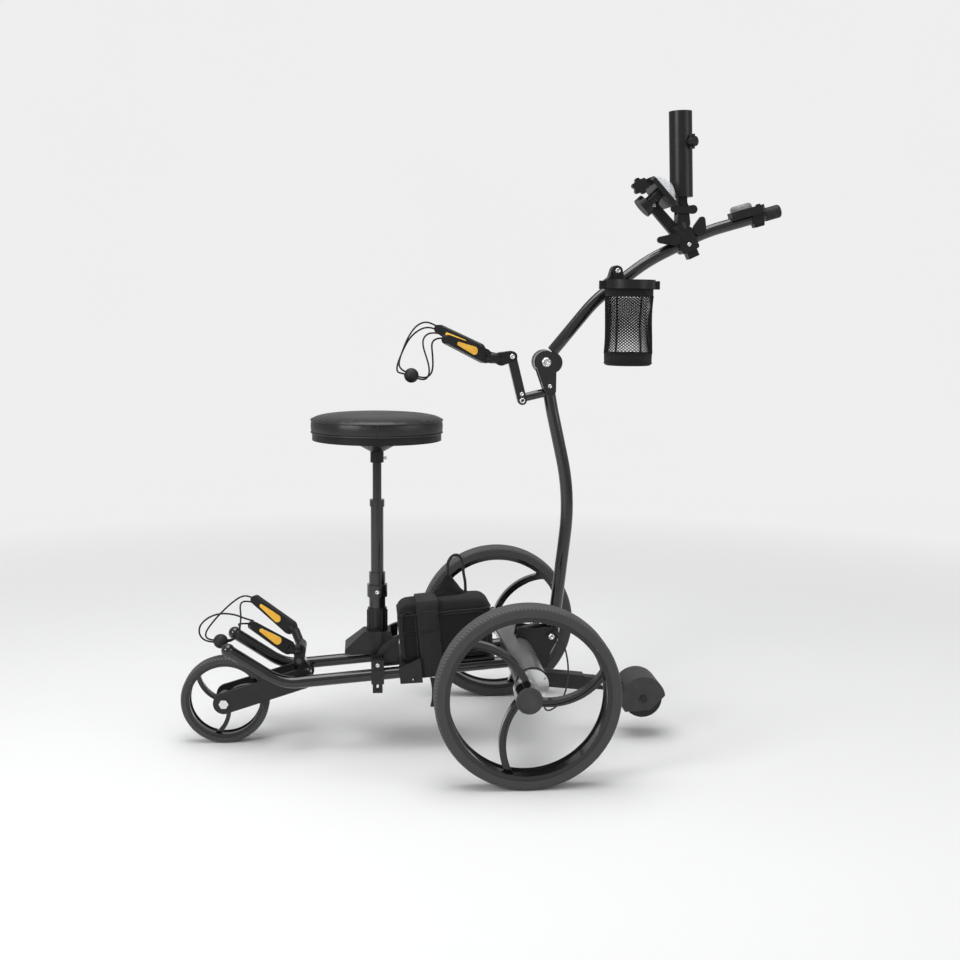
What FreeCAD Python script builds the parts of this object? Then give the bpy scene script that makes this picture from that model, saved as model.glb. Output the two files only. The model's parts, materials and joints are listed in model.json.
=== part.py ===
import FreeCAD, Part
import math
import os

# Electric golf push cart with a seat.  Millimetres.  While it is being built the frame of
# reference is: ground at z = 0, rear axle above x = 0, handle towards +X, front wheel towards -X,
# the cart's left side towards -Y.  At export everything is moved so that the origin is the
# centre of the bottom of the overall box.
Vec = FreeCAD.Vector

# ---------------------------------------------------------------- driving dimensions
WHEEL_R = 159.0
WHEEL_W = 45.0
TRACK = 550.0
WHEELBASE = 533.7
FRONT_WHEEL_R = 81.6
FRONT_WHEEL_W = 30.0
TYRE_SECTION = 18.0
RIM_DEPTH = 8.0
FRONT_TYRE_SECTION = 11.0
FRONT_RIM_DEPTH = 6.0
HUB_R = 22.0
HUB_LENGTH = 40.0
HUB_CAP_T = 4.0
AXLE_R = 6.0

MOTOR_X = 14.0
MOTOR_LIFT = 8.0
MOTOR_R = 28.0
MOTOR_WALL = 2.5
MOTOR_END_GAP = 47.0

TUBE_R = 11.0
TUBE_WALL = 1.8
RAIL_GAUGE = 130.0
RAIL_RISE_DEG = 4.95
RAIL_REF_X = -380.0
RAIL_REF_Z = 131.0
RAIL_BEND_X = -425.0
RAIL_TIP_X = -521.0
RAIL_TIP_Z = 190.5
RAIL_BEND_R = 90.0
BALL_TIP_R = 12.5

SEAT_X = -251.0
SEAT_R = 121.0
SEAT_TOP_Z = 611.0
CUSHION_T = 30.0
SEAT_PAN_T = 13.0
POST_R = 8.2
OUTER_POST_R = 11.8
OUTER_POST_TOP = 457.0

BAG_FRONT = 176.0
BAG_LENGTH = 170.0
BAG_HALF_W = 76.0
BAG_HEIGHT = 112.0
BAG_WALL = 3.0

MAIN_TUBE_R = 11.5
FOLD_X = 75.0
FOLD_Z = 198.0
KNUCKLE_X = 58.0
KNUCKLE_Z = 712.0
HANDLE_TIP_X = 484.0
HANDLE_TIP_Z = 990.5

PIVOT_R = 5.0
CUP_R = 46.5
CUP_X = 200.0
CUP_Y = -66.0
CUP_TOP = 862.0
CUP_BOTTOM = 709.0
UMBRELLA_R = 21.0
UMBRELLA_WALL = 2.5
UMBRELLA_TOP = 1167.0
UMBRELLA_BOTTOM = 1014.0

ROLLER_R = 37.0
ROLLER_HALF_W = 36.0
ROLLER_X = 250.0
ROLLER_Z = 79.0
ANTITIP_DROP_DEG = 6.0

# clearances between pieces
RUNNING = 0.05
SLIDING = 0.04
SEAT_GAP = 0.3
SKIN_GAP = 0.05
TYRE_GAP = 0.3

PAD_R = 13.5
CORD_R = 1.6
LEAD_R = 2.7
CABLE_R = 1.6

AXLE_Z = WHEEL_R
MOTOR_Z = WHEEL_R + MOTOR_LIFT
MOTOR_LENGTH = TRACK - 2 * MOTOR_END_GAP
RAIL_Y = RAIL_GAUGE / 2
RISE = math.radians(RAIL_RISE_DEG)


# ---------------------------------------------------------------- shape helpers
def cyl(start, direction, radius, length):
    return Part.makeCylinder(radius, length, Vec(*start), Vec(*direction))


def y_cyl(x, z, y0, y1, radius):
    return cyl((x, y0, z), (0, 1, 0), radius, y1 - y0)


def z_cyl(x, y, z0, z1, radius):
    return cyl((x, y, z0), (0, 0, 1), radius, z1 - z0)


def ring(x, z, y0, y1, outer, inner):
    return y_cyl(x, z, y0, y1, outer).cut(y_cyl(x, z, y0 - 1, y1 + 1, inner))


def box(x0, x1, y0, y1, z0, z1):
    return Part.makeBox(x1 - x0, y1 - y0, z1 - z0, Vec(x0, y0, z0))


def rectangle(x0, x1, half_y, z):
    corners = [Vec(x0, -half_y, z), Vec(x1, -half_y, z), Vec(x1, half_y, z), Vec(x0, half_y, z)]
    return Part.makePolygon(corners + corners[:1])


def y_prism(outline, y0, y1):
    """A polygon in X and Z, extruded from y0 to y1."""
    points = [Vec(x, y0, z) for x, z in outline]
    face = Part.Face(Part.makePolygon(points + points[:1]))
    return face.extrude(Vec(0, y1 - y0, 0))


def tapered(a, ra, b, rb, y0, y1):
    """Two circles in X and Z joined by their outer tangents, extruded from y0 to y1."""
    length = math.hypot(b[0] - a[0], b[1] - a[1])
    heading = math.atan2(b[1] - a[1], b[0] - a[0])
    lean = math.acos((ra - rb) / length)

    def on(centre, radius, angle):
        return Vec(centre[0] + radius * math.cos(angle), y0, centre[1] + radius * math.sin(angle))

    edges = [
        Part.Arc(on(a, ra, heading + lean), on(a, ra, heading + math.pi),
                 on(a, ra, heading - lean)).toShape(),
        Part.LineSegment(on(a, ra, heading - lean), on(b, rb, heading - lean)).toShape(),
        Part.Arc(on(b, rb, heading - lean), on(b, rb, heading), on(b, rb, heading + lean)).toShape(),
        Part.LineSegment(on(b, rb, heading + lean), on(a, ra, heading + lean)).toShape(),
    ]
    return Part.Face(Part.Wire(edges)).extrude(Vec(0, y1 - y0, 0))


def turned(profile, x, z):
    """A closed profile of (radius, y) points, turned about the line along Y through x, z."""
    points = [Vec(x + r, y, z) for r, y in profile]
    face = Part.Face(Part.makePolygon(points + points[:1]))
    return face.revolve(Vec(x, 0, z), Vec(0, 1, 0), 360)


def rounded_path(points, radii):
    """Straight runs joined by tangent arcs; radii has one value for each inner point."""
    edges = []
    start = Vec(*points[0])
    for here, after, radius in zip(points[1:-1], points[2:], radii):
        corner = Vec(*here)
        back = (start - corner).normalize()
        ahead = (Vec(*after) - corner).normalize()
        half = back.getAngle(ahead) / 2
        reach = radius / math.tan(half)
        middle = (back + ahead).normalize() * (radius / math.sin(half) - radius)
        first = corner + back * reach
        last = corner + ahead * reach
        if (first - start).Length > 1e-6:
            edges.append(Part.LineSegment(start, first).toShape())
        edges.append(Part.Arc(first, corner + middle, last).toShape())
        start = last
    edges.append(Part.LineSegment(start, Vec(*points[-1])).toShape())
    return Part.Wire(edges)


def swept(path, radius):
    """A round bar along a path of runs and arcs."""
    edge = path.Edges[0]
    begin = edge.valueAt(edge.FirstParameter)
    heading = edge.tangentAt(edge.FirstParameter)
    section = Part.Wire([Part.makeCircle(radius, begin, heading)])
    return path.makePipeShell([section], True, False)


def bent_tube(points, radii, outer, wall):
    path = rounded_path(points, radii)
    return swept(path, outer).cut(swept(path, outer - wall))


def cord_radii(points):
    """Each arc of a cord's tube is as large as its two runs allow."""
    radii = []
    for a, b, c in zip(points, points[1:], points[2:]):
        before = Vec(*b) - Vec(*a)
        after = Vec(*c) - Vec(*b)
        turn = before.getAngle(after)
        radii.append(0.45 * min(before.Length, after.Length) / math.tan(turn / 2))
    return radii


def cord(points, radius):
    radii = cord_radii(points)
    path = rounded_path(points, radii)
    print("  cord of %.0f mm, tightest radius %.1f mm" % (path.Length, min(radii)))
    return swept(path, radius)


def group(*shapes):
    return Part.makeCompound(list(shapes))


def framed(shape, origin, along, side):
    """Puts a shape made at the zero point, with X along and Y towards side, at its place."""
    x = Vec(*along).normalize()
    z = x.cross(Vec(*side)).normalize()
    y = z.cross(x)
    matrix = FreeCAD.Matrix(x.x, y.x, z.x, origin[0], x.y, y.y, z.y, origin[1],
                            x.z, y.z, z.z, origin[2], 0, 0, 0, 1)
    copy = shape.copy()
    copy.Placement = FreeCAD.Placement(matrix)
    return copy


def hexagon(x, z, y0, y1, radius):
    corners = [math.radians(60 * k) for k in range(6)]
    return y_prism([(x + radius * math.cos(a), z + radius * math.sin(a)) for a in corners], y0, y1)


def on_rail(u, v):
    """X and Z of a point u along the rails from their reference point and v above their axis."""
    return (RAIL_REF_X + u * math.cos(RISE) - v * math.sin(RISE),
            RAIL_REF_Z + u * math.sin(RISE) + v * math.cos(RISE))


def rail_box(u0, u1, y0, y1, v0, v1):
    return y_prism([on_rail(u0, v0), on_rail(u1, v0), on_rail(u1, v1), on_rail(u0, v1)], y0, y1)


def rail_z(x):
    return RAIL_REF_Z + (x - RAIL_REF_X) * math.tan(RISE)


# ---------------------------------------------------------------- wheels
def tyre(x, y, z, outer, width, section):
    """A solid tyre with rounded shoulders, turned about its axle."""
    half = width / 2
    inner = outer - section + TYRE_GAP
    shoulder = width * 0.16
    drop = section * 0.28
    profile = [(inner, y - half), (outer - drop, y - half), (outer - drop * 0.3, y - half + shoulder * 0.35),
               (outer, y - half + shoulder), (outer, y + half - shoulder),
               (outer - drop * 0.3, y + half - shoulder * 0.35), (outer - drop, y + half), (inner, y + half)]
    return turned(profile, x, z)


def spoke(x, z, y0, y1, inner, outer, hub_angle, rim_angle, width):
    """A curved spoke whose angle grows from the hub to the rim."""
    middle_angle = hub_angle + (rim_angle - hub_angle) * 0.52
    middle = inner + (outer - inner) * 0.44
    ends = [(inner, hub_angle), (middle, middle_angle), (outer, rim_angle)]
    points = [Vec(x + r * math.cos(math.radians(a)), y0, z + r * math.sin(math.radians(a))) for r, a in ends]
    arc = Part.Arc(*points)
    centre = arc.toShape().Curve.Center

    def shifted(point, by):
        away = (point - centre).normalize()
        return point + away * by

    outside = [shifted(p, width / 2) for p in points]
    inside = [shifted(p, -width / 2) for p in points]
    edges = [Part.Arc(*outside).toShape(), Part.LineSegment(outside[2], inside[2]).toShape(),
             Part.Arc(inside[2], inside[1], inside[0]).toShape(),
             Part.LineSegment(inside[0], outside[0]).toShape()]
    return Part.Face(Part.Wire(edges)).extrude(Vec(0, y1 - y0, 0))


def wheel_rim(x, y, z, rim_outer, rim_inner, width, hub_r, hub, bore, first_angle, sweep_deg, spoke_w):
    """Barrel, three grooved spokes and hub in one moulding; hub is the pair of its end faces."""
    half = width / 2
    lip = width * 0.08
    drop = (rim_outer - rim_inner) * 0.35
    barrel = turned([(rim_outer, y - half), (rim_outer, y + half), (rim_inner, y + half),
                     (rim_inner, y + half - lip), (rim_inner + drop, y + half - 2 * lip),
                     (rim_inner + drop, y - half + 2 * lip), (rim_inner, y - half + lip),
                     (rim_inner, y - half)], x, z)
    solid = barrel.fuse(y_cyl(x, z, hub[0], hub[1], hub_r))
    depth = width * 0.2
    for k in range(3):
        rim_angle = first_angle + 120 * k
        bar = spoke(x, z, y - depth, y + depth, hub_r - 3, (rim_inner + rim_outer) / 2 + drop / 2,
                    rim_angle - sweep_deg, rim_angle, spoke_w)
        bar = bar.common(y_cyl(x, z, y - depth, y + depth, rim_outer - 1))
        for face, edge in ((y - depth - 1, y - depth + 2.5), (y + depth - 2.5, y + depth + 1)):
            groove = spoke(x, z, face, edge, hub_r + 3, rim_inner - 3,
                           rim_angle - sweep_deg * 0.97, rim_angle - 1, spoke_w * 0.28)
            bar = bar.cut(groove)
        solid = solid.fuse(bar)
    return solid.cut(y_cyl(x, z, hub[0] - 1, hub[1] + 1, bore)).removeSplitter()


def rear_wheel(side):
    """side is -1 for the left wheel and +1 for the right one."""
    y = side * TRACK / 2
    name = "left" if side < 0 else "right"
    outer_face = y + side * (WHEEL_W / 2 + 3)
    inner_face = outer_face - side * HUB_LENGTH
    hub = sorted((inner_face, outer_face))
    rim_outer = WHEEL_R - TYRE_SECTION
    first, sweep_deg = (18, 46) if side < 0 else (43, -46)
    rim = wheel_rim(0, y, AXLE_Z, rim_outer, rim_outer - RIM_DEPTH, WHEEL_W - 2, HUB_R, hub,
                    AXLE_R + SKIN_GAP, first, sweep_deg, 12.0)
    cap_face = outer_face + side * HUB_CAP_T
    cap = y_cyl(0, AXLE_Z, min(outer_face, cap_face), max(outer_face, cap_face), HUB_R + 0.8)
    rim_edge = [e for e in cap.Edges if abs(e.BoundBox.YMin - cap_face) < 0.01]
    cap = cap.makeFillet(1.5, rim_edge)
    shaft_end = side * (MOTOR_LENGTH / 2 - 14)
    shaft = y_cyl(0, AXLE_Z, min(outer_face, shaft_end), max(outer_face, shaft_end), AXLE_R)
    parts["tyre_" + name] = tyre(0, y, AXLE_Z, WHEEL_R, WHEEL_W, TYRE_SECTION)
    parts["rim_" + name] = rim
    parts["axle_" + name] = cap.fuse(shaft)


FRONT_X = -WHEELBASE
FRONT_HUB_HALF = FRONT_WHEEL_W / 2 + 2
FORK_INNER = 28.0
FORK_T = 5.0
FRONT_AXLE_R = 5.0
BEARING_R = 11.0


def front_wheel():
    rim_outer = FRONT_WHEEL_R - FRONT_TYRE_SECTION
    parts["front_tyre"] = tyre(FRONT_X, 0, FRONT_WHEEL_R, FRONT_WHEEL_R, FRONT_WHEEL_W, FRONT_TYRE_SECTION)
    parts["front_rim"] = wheel_rim(FRONT_X, 0, FRONT_WHEEL_R, rim_outer, rim_outer - FRONT_RIM_DEPTH,
                                   FRONT_WHEEL_W - 3, 14.5, (-FRONT_HUB_HALF, FRONT_HUB_HALF),
                                   BEARING_R + SKIN_GAP, 16, -42, 8.0)
    bearings = [ring(FRONT_X, FRONT_WHEEL_R, y0, y0 + 7, BEARING_R, FRONT_AXLE_R + RUNNING)
                for y0 in (-FRONT_HUB_HALF, FRONT_HUB_HALF - 7)]
    parts["front_bearings"] = group(*bearings)


# ---------------------------------------------------------------- lower frame
CROSS_X = -389.0
CROSS_R = 8.0
CRADLE_X = -396.0
CRADLE_Z = 158.0
TONGUE_HALF = 12.0


def lower_rails():
    housing = y_cyl(MOTOR_X, MOTOR_Z, -100, 100, MOTOR_R + SKIN_GAP)
    for name, y in (("left", -RAIL_Y), ("right", RAIL_Y)):
        points = [(RAIL_TIP_X, y, RAIL_TIP_Z), (RAIL_BEND_X, y, rail_z(RAIL_BEND_X)),
                  (MOTOR_X, y, rail_z(MOTOR_X))]
        rail = bent_tube(points, [RAIL_BEND_R], TUBE_R, TUBE_WALL).cut(housing)
        ball = Part.makeSphere(BALL_TIP_R, Vec(RAIL_TIP_X, y, RAIL_TIP_Z))
        parts["lower_rail_" + name] = biggest(rail).fuse(ball)


def biggest(shape):
    return max(shape.Solids, key=lambda solid: solid.Volume)


def rail_bores(reach=SKIN_GAP):
    """The straight part of both rails with a skin gap, for cutting clamps and coped ends."""
    x0, z0 = on_rail(-60, 0)
    bores = [cyl((x0, y, z0), (math.cos(RISE), 0, math.sin(RISE)), TUBE_R + reach, 460)
             for y in (-RAIL_Y, RAIL_Y)]
    return bores[0].fuse(bores[1])


def front_fork():
    axle = (FRONT_X, FRONT_WHEEL_R)
    rear = (CROSS_X, rail_z(CROSS_X) - 4)
    plates = []
    for y0 in (-FORK_INNER - FORK_T, FORK_INNER):
        plate = tapered(axle, 20, rear, 19, y0, y0 + FORK_T)
        plate = plate.cut(y_cyl(FRONT_X, FRONT_WHEEL_R, y0 - 1, y0 + 9, FRONT_AXLE_R + SKIN_GAP))
        plates.append(plate.cut(y_cyl(CROSS_X, rail_z(CROSS_X), y0 - 1, y0 + 9, CROSS_R + SKIN_GAP)))
    parts["fork_plates"] = group(*plates)

    reach = FORK_INNER + FORK_T + SEAT_GAP
    bolt = y_cyl(FRONT_X, FRONT_WHEEL_R, -reach - 2, reach + 2, FRONT_AXLE_R)
    for side in (-1, 1):
        face = side * (reach - SEAT_GAP + SKIN_GAP)
        head = hexagon(FRONT_X, FRONT_WHEEL_R, min(face, face + side * 6), max(face, face + side * 6), 9)
        gap = side * (FRONT_HUB_HALF + SEAT_GAP)
        inner = side * (FORK_INNER - SKIN_GAP)
        spacer = y_cyl(FRONT_X, FRONT_WHEEL_R, min(gap, inner), max(gap, inner), 7.5)
        bolt = bolt.fuse(head).fuse(spacer)
    parts["front_axle"] = bolt


def front_bracket():
    """Cross tube between the rails with the tongue that carries the lower bag arms."""
    z = rail_z(CROSS_X)
    tube = y_cyl(CROSS_X, z, -RAIL_Y, RAIL_Y, CROSS_R).cut(rail_bores())
    tube = biggest(tube)
    tongue = tapered((CROSS_X, z), 15, (CRADLE_X, CRADLE_Z), 10, -TONGUE_HALF, TONGUE_HALF)
    collar = ring(CROSS_X, z, -26, 26, 15, CROSS_R - 1)
    pin = y_cyl(CRADLE_X, CRADLE_Z, -TONGUE_HALF - 12, TONGUE_HALF + 12, PIVOT_R)
    parts["front_bracket"] = tube.fuse(collar).fuse(tongue).fuse(pin)


# ---------------------------------------------------------------- seat
FOOT_BOTTOM = 172.0
FOOT_SLAB = 9.0
FOOT_FRONT = 60.0
FOOT_REAR = 36.0
FOOT_W = 74.0
FOOT_TOP = 211.0
SOCKET_TOP = 253.0
SOCKET_R = 19.0
CROSSBAR_HALF_X = 11.5
PAN_BOTTOM = SEAT_TOP_Z - CUSHION_T - SEAT_PAN_T


def seat_base():
    rail_top = rail_z(SEAT_X) + TUBE_R
    bar = box(SEAT_X - CROSSBAR_HALF_X, SEAT_X + CROSSBAR_HALF_X, -RAIL_Y - 14, RAIL_Y + 14,
              rail_top - 3, FOOT_BOTTOM)
    for y in (-RAIL_Y, RAIL_Y):
        clamp = box(SEAT_X - CROSSBAR_HALF_X, SEAT_X + CROSSBAR_HALF_X, y - 15, y + 15,
                    rail_z(SEAT_X) - 15, rail_top)
        stub = box(SEAT_X - 9, SEAT_X + 9, y - 9, y + 9, rail_z(SEAT_X) - 33, rail_z(SEAT_X) - 14)
        slot = box(SEAT_X - 2, SEAT_X + 2, y - 10, y + 10, rail_z(SEAT_X) - 28, rail_z(SEAT_X) - 17)
        bar = bar.fuse(clamp).fuse(stub).cut(slot)
    parts["seat_crossbar"] = bar.cut(rail_bores())

    half_w = FOOT_W / 2
    low, high = FOOT_BOTTOM + FOOT_SLAB, FOOT_TOP
    slab = box(SEAT_X - FOOT_FRONT, SEAT_X + FOOT_REAR, -half_w, half_w, FOOT_BOTTOM + SKIN_GAP, low)
    wires = [rectangle(SEAT_X - FOOT_FRONT, SEAT_X + FOOT_REAR, half_w, low),
             rectangle(SEAT_X - 25, SEAT_X + 25, 22.0, high)]
    foot = slab.fuse(Part.makeLoft(wires, True, True))
    socket = z_cyl(SEAT_X, 0, high - 6, SOCKET_TOP, SOCKET_R - 1.2)
    for k in range(12):
        angle = math.radians(30 * k)
        rib = cyl((SEAT_X + (SOCKET_R - 1.2) * math.cos(angle), (SOCKET_R - 1.2) * math.sin(angle), high - 4),
                  (0, 0, 1), 1.6, SOCKET_TOP - high)
        socket = socket.fuse(rib)
    boss = box(SEAT_X - 7.5, SEAT_X + 7.5, -half_w - 2, -18, FOOT_BOTTOM + FOOT_SLAB - 3, high + 4)
    foot = foot.fuse(socket).fuse(boss)
    parts["seat_foot"] = foot.cut(z_cyl(SEAT_X, 0, FOOT_BOTTOM + 4, SOCKET_TOP + 1, OUTER_POST_R + SKIN_GAP))


def seat_post():
    tube = z_cyl(SEAT_X, 0, FOOT_BOTTOM + 4 + SEAT_GAP, OUTER_POST_TOP, OUTER_POST_R)
    collar = z_cyl(SEAT_X, 0, OUTER_POST_TOP - 13, OUTER_POST_TOP, OUTER_POST_R + 1.9)
    tube = tube.fuse(collar).cut(z_cyl(SEAT_X, 0, 0, OUTER_POST_TOP + 1, POST_R + SLIDING))
    clamp_bottom = SOCKET_TOP + SEAT_GAP
    levels = ((clamp_bottom, clamp_bottom + 21, 15.2), (clamp_bottom + 21, clamp_bottom + 44, 19.0),
              (clamp_bottom + 44, clamp_bottom + 67, 15.2))
    clamp = None
    for low, high, radius in levels:
        step = z_cyl(SEAT_X, 0, low, high, radius)
        clamp = step if clamp is None else clamp.fuse(step)
    clamp = clamp.cut(z_cyl(SEAT_X, 0, 0, OUTER_POST_TOP, OUTER_POST_R + SKIN_GAP))
    parts["seat_post_outer"] = group(tube, clamp)
    inner_top = PAN_BOTTOM + 2
    parts["seat_post_inner"] = z_cyl(SEAT_X, 0, 290, inner_top, POST_R)

    cone_bottom = PAN_BOTTOM - 22
    pan = z_cyl(SEAT_X, 0, PAN_BOTTOM, PAN_BOTTOM + SEAT_PAN_T - SEAT_GAP, SEAT_R - 2.5)
    cone = Part.makeCone(12.3, 52, PAN_BOTTOM - cone_bottom, Vec(SEAT_X, 0, cone_bottom), Vec(0, 0, 1))
    collar = z_cyl(SEAT_X, 0, cone_bottom - 20, cone_bottom, 12.3)
    pan = pan.fuse(cone).fuse(collar)
    parts["seat_pan"] = pan.cut(z_cyl(SEAT_X, 0, 0, inner_top + SEAT_GAP, POST_R + RUNNING))
    cushion = z_cyl(SEAT_X, 0, SEAT_TOP_Z - CUSHION_T, SEAT_TOP_Z, SEAT_R)
    parts["seat_cushion"] = cushion.makeFillet(7, [e for e in cushion.Edges if e.BoundBox.ZLength < 0.01])


# ---------------------------------------------------------------- battery
FLOOR_V = TUBE_R + 0.3
FLOOR_T = 3.0
STRAP_U0, STRAP_U1 = 210.0, 250.0
STRAP_T = 2.4
LEAD_U = 97.0
BOOT_HEIGHT = 35.0


def battery_tray():
    floor = rail_box(BAG_FRONT - 6, BAG_FRONT + BAG_LENGTH, -BAG_HALF_W, BAG_HALF_W,
                     FLOOR_V, FLOOR_V + FLOOR_T)
    cheek_x, cheek_z = on_rail(BAG_FRONT - 6, FLOOR_V)
    cheek_x = cheek_x + 12
    crossbar_edge = SEAT_X + CROSSBAR_HALF_X + SEAT_GAP
    crossbar_room = box(SEAT_X - 60, crossbar_edge, -100, 100, 100, FOOT_BOTTOM + SEAT_GAP)
    for side in (-1, 1):
        y0, y1 = sorted((side * 44, side * 56))
        disc = y_cyl(cheek_x, cheek_z, y0, y1, 56)
        w0, w1 = sorted((side * 50, side * 57))
        recess = y_cyl(cheek_x, cheek_z, w0, w1, 47)
        quarter = box(cheek_x - 60, cheek_x - 12, y0, y1, cheek_z + 1, cheek_z + 60)
        cheek = disc.cut(recess).common(quarter)
        sill = rail_box(BAG_FRONT - 40, BAG_FRONT, y0, y1, FLOOR_V, FLOOR_V + FLOOR_T)
        floor = floor.fuse(cheek).fuse(sill).cut(crossbar_room)
        out0, out1 = sorted((side * (BAG_HALF_W + 5), side * (BAG_HALF_W + 8)))
        x0, z0 = on_rail(BAG_FRONT - 8, 0)
        plate = y_prism([(x0, z0 + 13), (x0 + 3, z0 - 17), (x0 + 44, z0 - 15), (x0 + 41, z0 + 18),
                         (x0 + 39, z0 + 31), (x0 + 20, z0 + 22)], out0, out1)
        plate = plate.cut(y_cyl(x0 + 28, z0 - 9, out0 - 1, out1 + 1, 3))
        t0, t1 = sorted((side * (BAG_HALF_W - 2), side * (BAG_HALF_W + 6)))
        tab = rail_box(BAG_FRONT - 2, STRAP_U0 - 4, t0, t1, FLOOR_V, FLOOR_V + FLOOR_T)
        s0, s1 = sorted((side * (RAIL_Y - 6), side * (BAG_HALF_W + 6)))
        shoe = rail_box(STRAP_U0 - 16, STRAP_U0 - 4, s0, s1, -TUBE_R - 5, -TUBE_R - SEAT_GAP)
        floor = floor.fuse(plate).fuse(tab).fuse(shoe)
    parts["battery_tray"] = floor.removeSplitter()


def battery_pack():
    v0 = FLOOR_V + FLOOR_T + SEAT_GAP
    v1 = v0 + BAG_HEIGHT
    u0, u1 = BAG_FRONT, BAG_FRONT + BAG_LENGTH
    outer = rail_box(u0, u1, -BAG_HALF_W, BAG_HALF_W, v0, v1)
    outer = outer.makeFillet(9, [e for e in outer.Edges if e.BoundBox.YLength < 1 and e.Length > 20])
    inner = rail_box(u0 + BAG_WALL, u1 - BAG_WALL, -BAG_HALF_W + BAG_WALL, BAG_HALF_W - BAG_WALL,
                     v0 + BAG_WALL, v1 - BAG_WALL)
    lead_x, lead_z = on_rail(BAG_FRONT + LEAD_U, v1)
    boot = Part.makeLoft([rectangle(lead_x - 22, lead_x + 26, 20, lead_z - 2),
                          rectangle(lead_x - 9, lead_x + 9, 9, lead_z + BOOT_HEIGHT)], True, True)
    parts["battery_bag"] = outer.fuse(boot).cut(inner)
    core = rail_box(u0 + 6, u1 - 6, -BAG_HALF_W + 6, BAG_HALF_W - 6, v0 + BAG_WALL + SEAT_GAP, v1 - 10)
    parts["battery"] = core

    reach = max(BAG_HALF_W, RAIL_Y + TUBE_R) + 0.5
    low_v = -TUBE_R - 0.6
    loop = rail_box(STRAP_U0, STRAP_U1, -reach - STRAP_T, reach + STRAP_T,
                    low_v - STRAP_T, v1 + 0.5 + STRAP_T)
    loop = loop.cut(rail_box(STRAP_U0 - 1, STRAP_U1 + 1, -reach, reach, low_v, v1 + 0.5))
    tail_x, tail_z = on_rail(STRAP_U0 + 20, low_v)
    tail = box(tail_x - 6, tail_x + 6, -reach - STRAP_T, -reach, tail_z - 56, tail_z)
    parts["battery_strap"] = loop.fuse(tail)


def leads():
    """The battery lead's loop from its boot back to the bag, and the left motor's cable."""
    bag_top = FLOOR_V + FLOOR_T + SEAT_GAP + BAG_HEIGHT
    x, z = on_rail(BAG_FRONT + LEAD_U, bag_top)
    x1, z1 = on_rail(BAG_FRONT + LEAD_U + 33, bag_top)
    parts["battery_lead"] = cord([
        (x, 0, z + BOOT_HEIGHT), (x, 0, z + 46), (x - 1, 0, z + 59), (x + 6, 0, z + 71), (x + 16, 0, z + 75),
        (x + 25, 0, z + 68), (x + 28, 0, z + 53), (x + 29, 0, z + 38), (x1 - 1, 0, z1 + 23), (x1, 0, z1 + 10),
        (x1, 0, z1 + SEAT_GAP)], LEAD_R)
    parts["motor_cable"] = cord([
        (80, -FOLD_HALF - FOLD_T - SKIN_GAP, 209),
        (80, -29, 209), (86, -40, 205), (94, -50, 192), (99, -62, 173),
        (100, -78, 152), (96, -98, 131), (87, -121, 114), (73, -145, 104), (57, -170, 102), (44, -194, 108),
        (37, -214, 121), (35, -226, 134), (32.2, -232, 145.0)], CABLE_R)


# ---------------------------------------------------------------- drive unit
SLEEVE_TIP = TRACK / 2 + WHEEL_W / 2 + 3 - HUB_LENGTH - 1.0


def drive_unit():
    half = MOTOR_LENGTH / 2
    housing = ring(MOTOR_X, MOTOR_Z, -half, half, MOTOR_R, MOTOR_R - MOTOR_WALL)
    parts["motor_housing"] = housing
    fit_r = MOTOR_R - MOTOR_WALL - SKIN_GAP
    motors = []
    boxes = []
    for side in (-1, 1):
        ends = sorted((side * 70, side * (half - 16)))
        motors.append(y_cyl(MOTOR_X, MOTOR_Z, ends[0], ends[1], fit_r))
        plug = sorted((side * (half - 15.7), side * half))
        plate = sorted((side * (half + SKIN_GAP), side * (half + 8)))
        gearbox = y_cyl(MOTOR_X, MOTOR_Z, plug[0], plug[1], fit_r)
        gearbox = gearbox.fuse(y_cyl(MOTOR_X, MOTOR_Z, plug[0] if side > 0 else plate[0],
                                     plate[1] if side > 0 else plug[1], fit_r - 2))
        gearbox = gearbox.fuse(y_cyl(MOTOR_X, MOTOR_Z, plate[0], plate[1], MOTOR_R - 0.5))
        sleeve = Part.makeCone(19.5, 16, SLEEVE_TIP - half - 8, Vec(0, side * (half + 8), AXLE_Z),
                               Vec(0, side, 0))
        base = y_cyl(0, AXLE_Z, plate[0], plate[1], 19.5)
        gearbox = gearbox.fuse(base).fuse(sleeve)
        ends = sorted((side * (half - 20), side * (SLEEVE_TIP + 2)))
        boxes.append(gearbox.cut(y_cyl(0, AXLE_Z, ends[0], ends[1], AXLE_R + RUNNING)))
    parts["drive_motors"] = group(*motors)
    parts["gearboxes"] = group(*boxes)


FOLD_HALF = 13.5
FOLD_T = 4.0
LOCK_X, LOCK_Z = 16.0, 206.0


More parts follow.
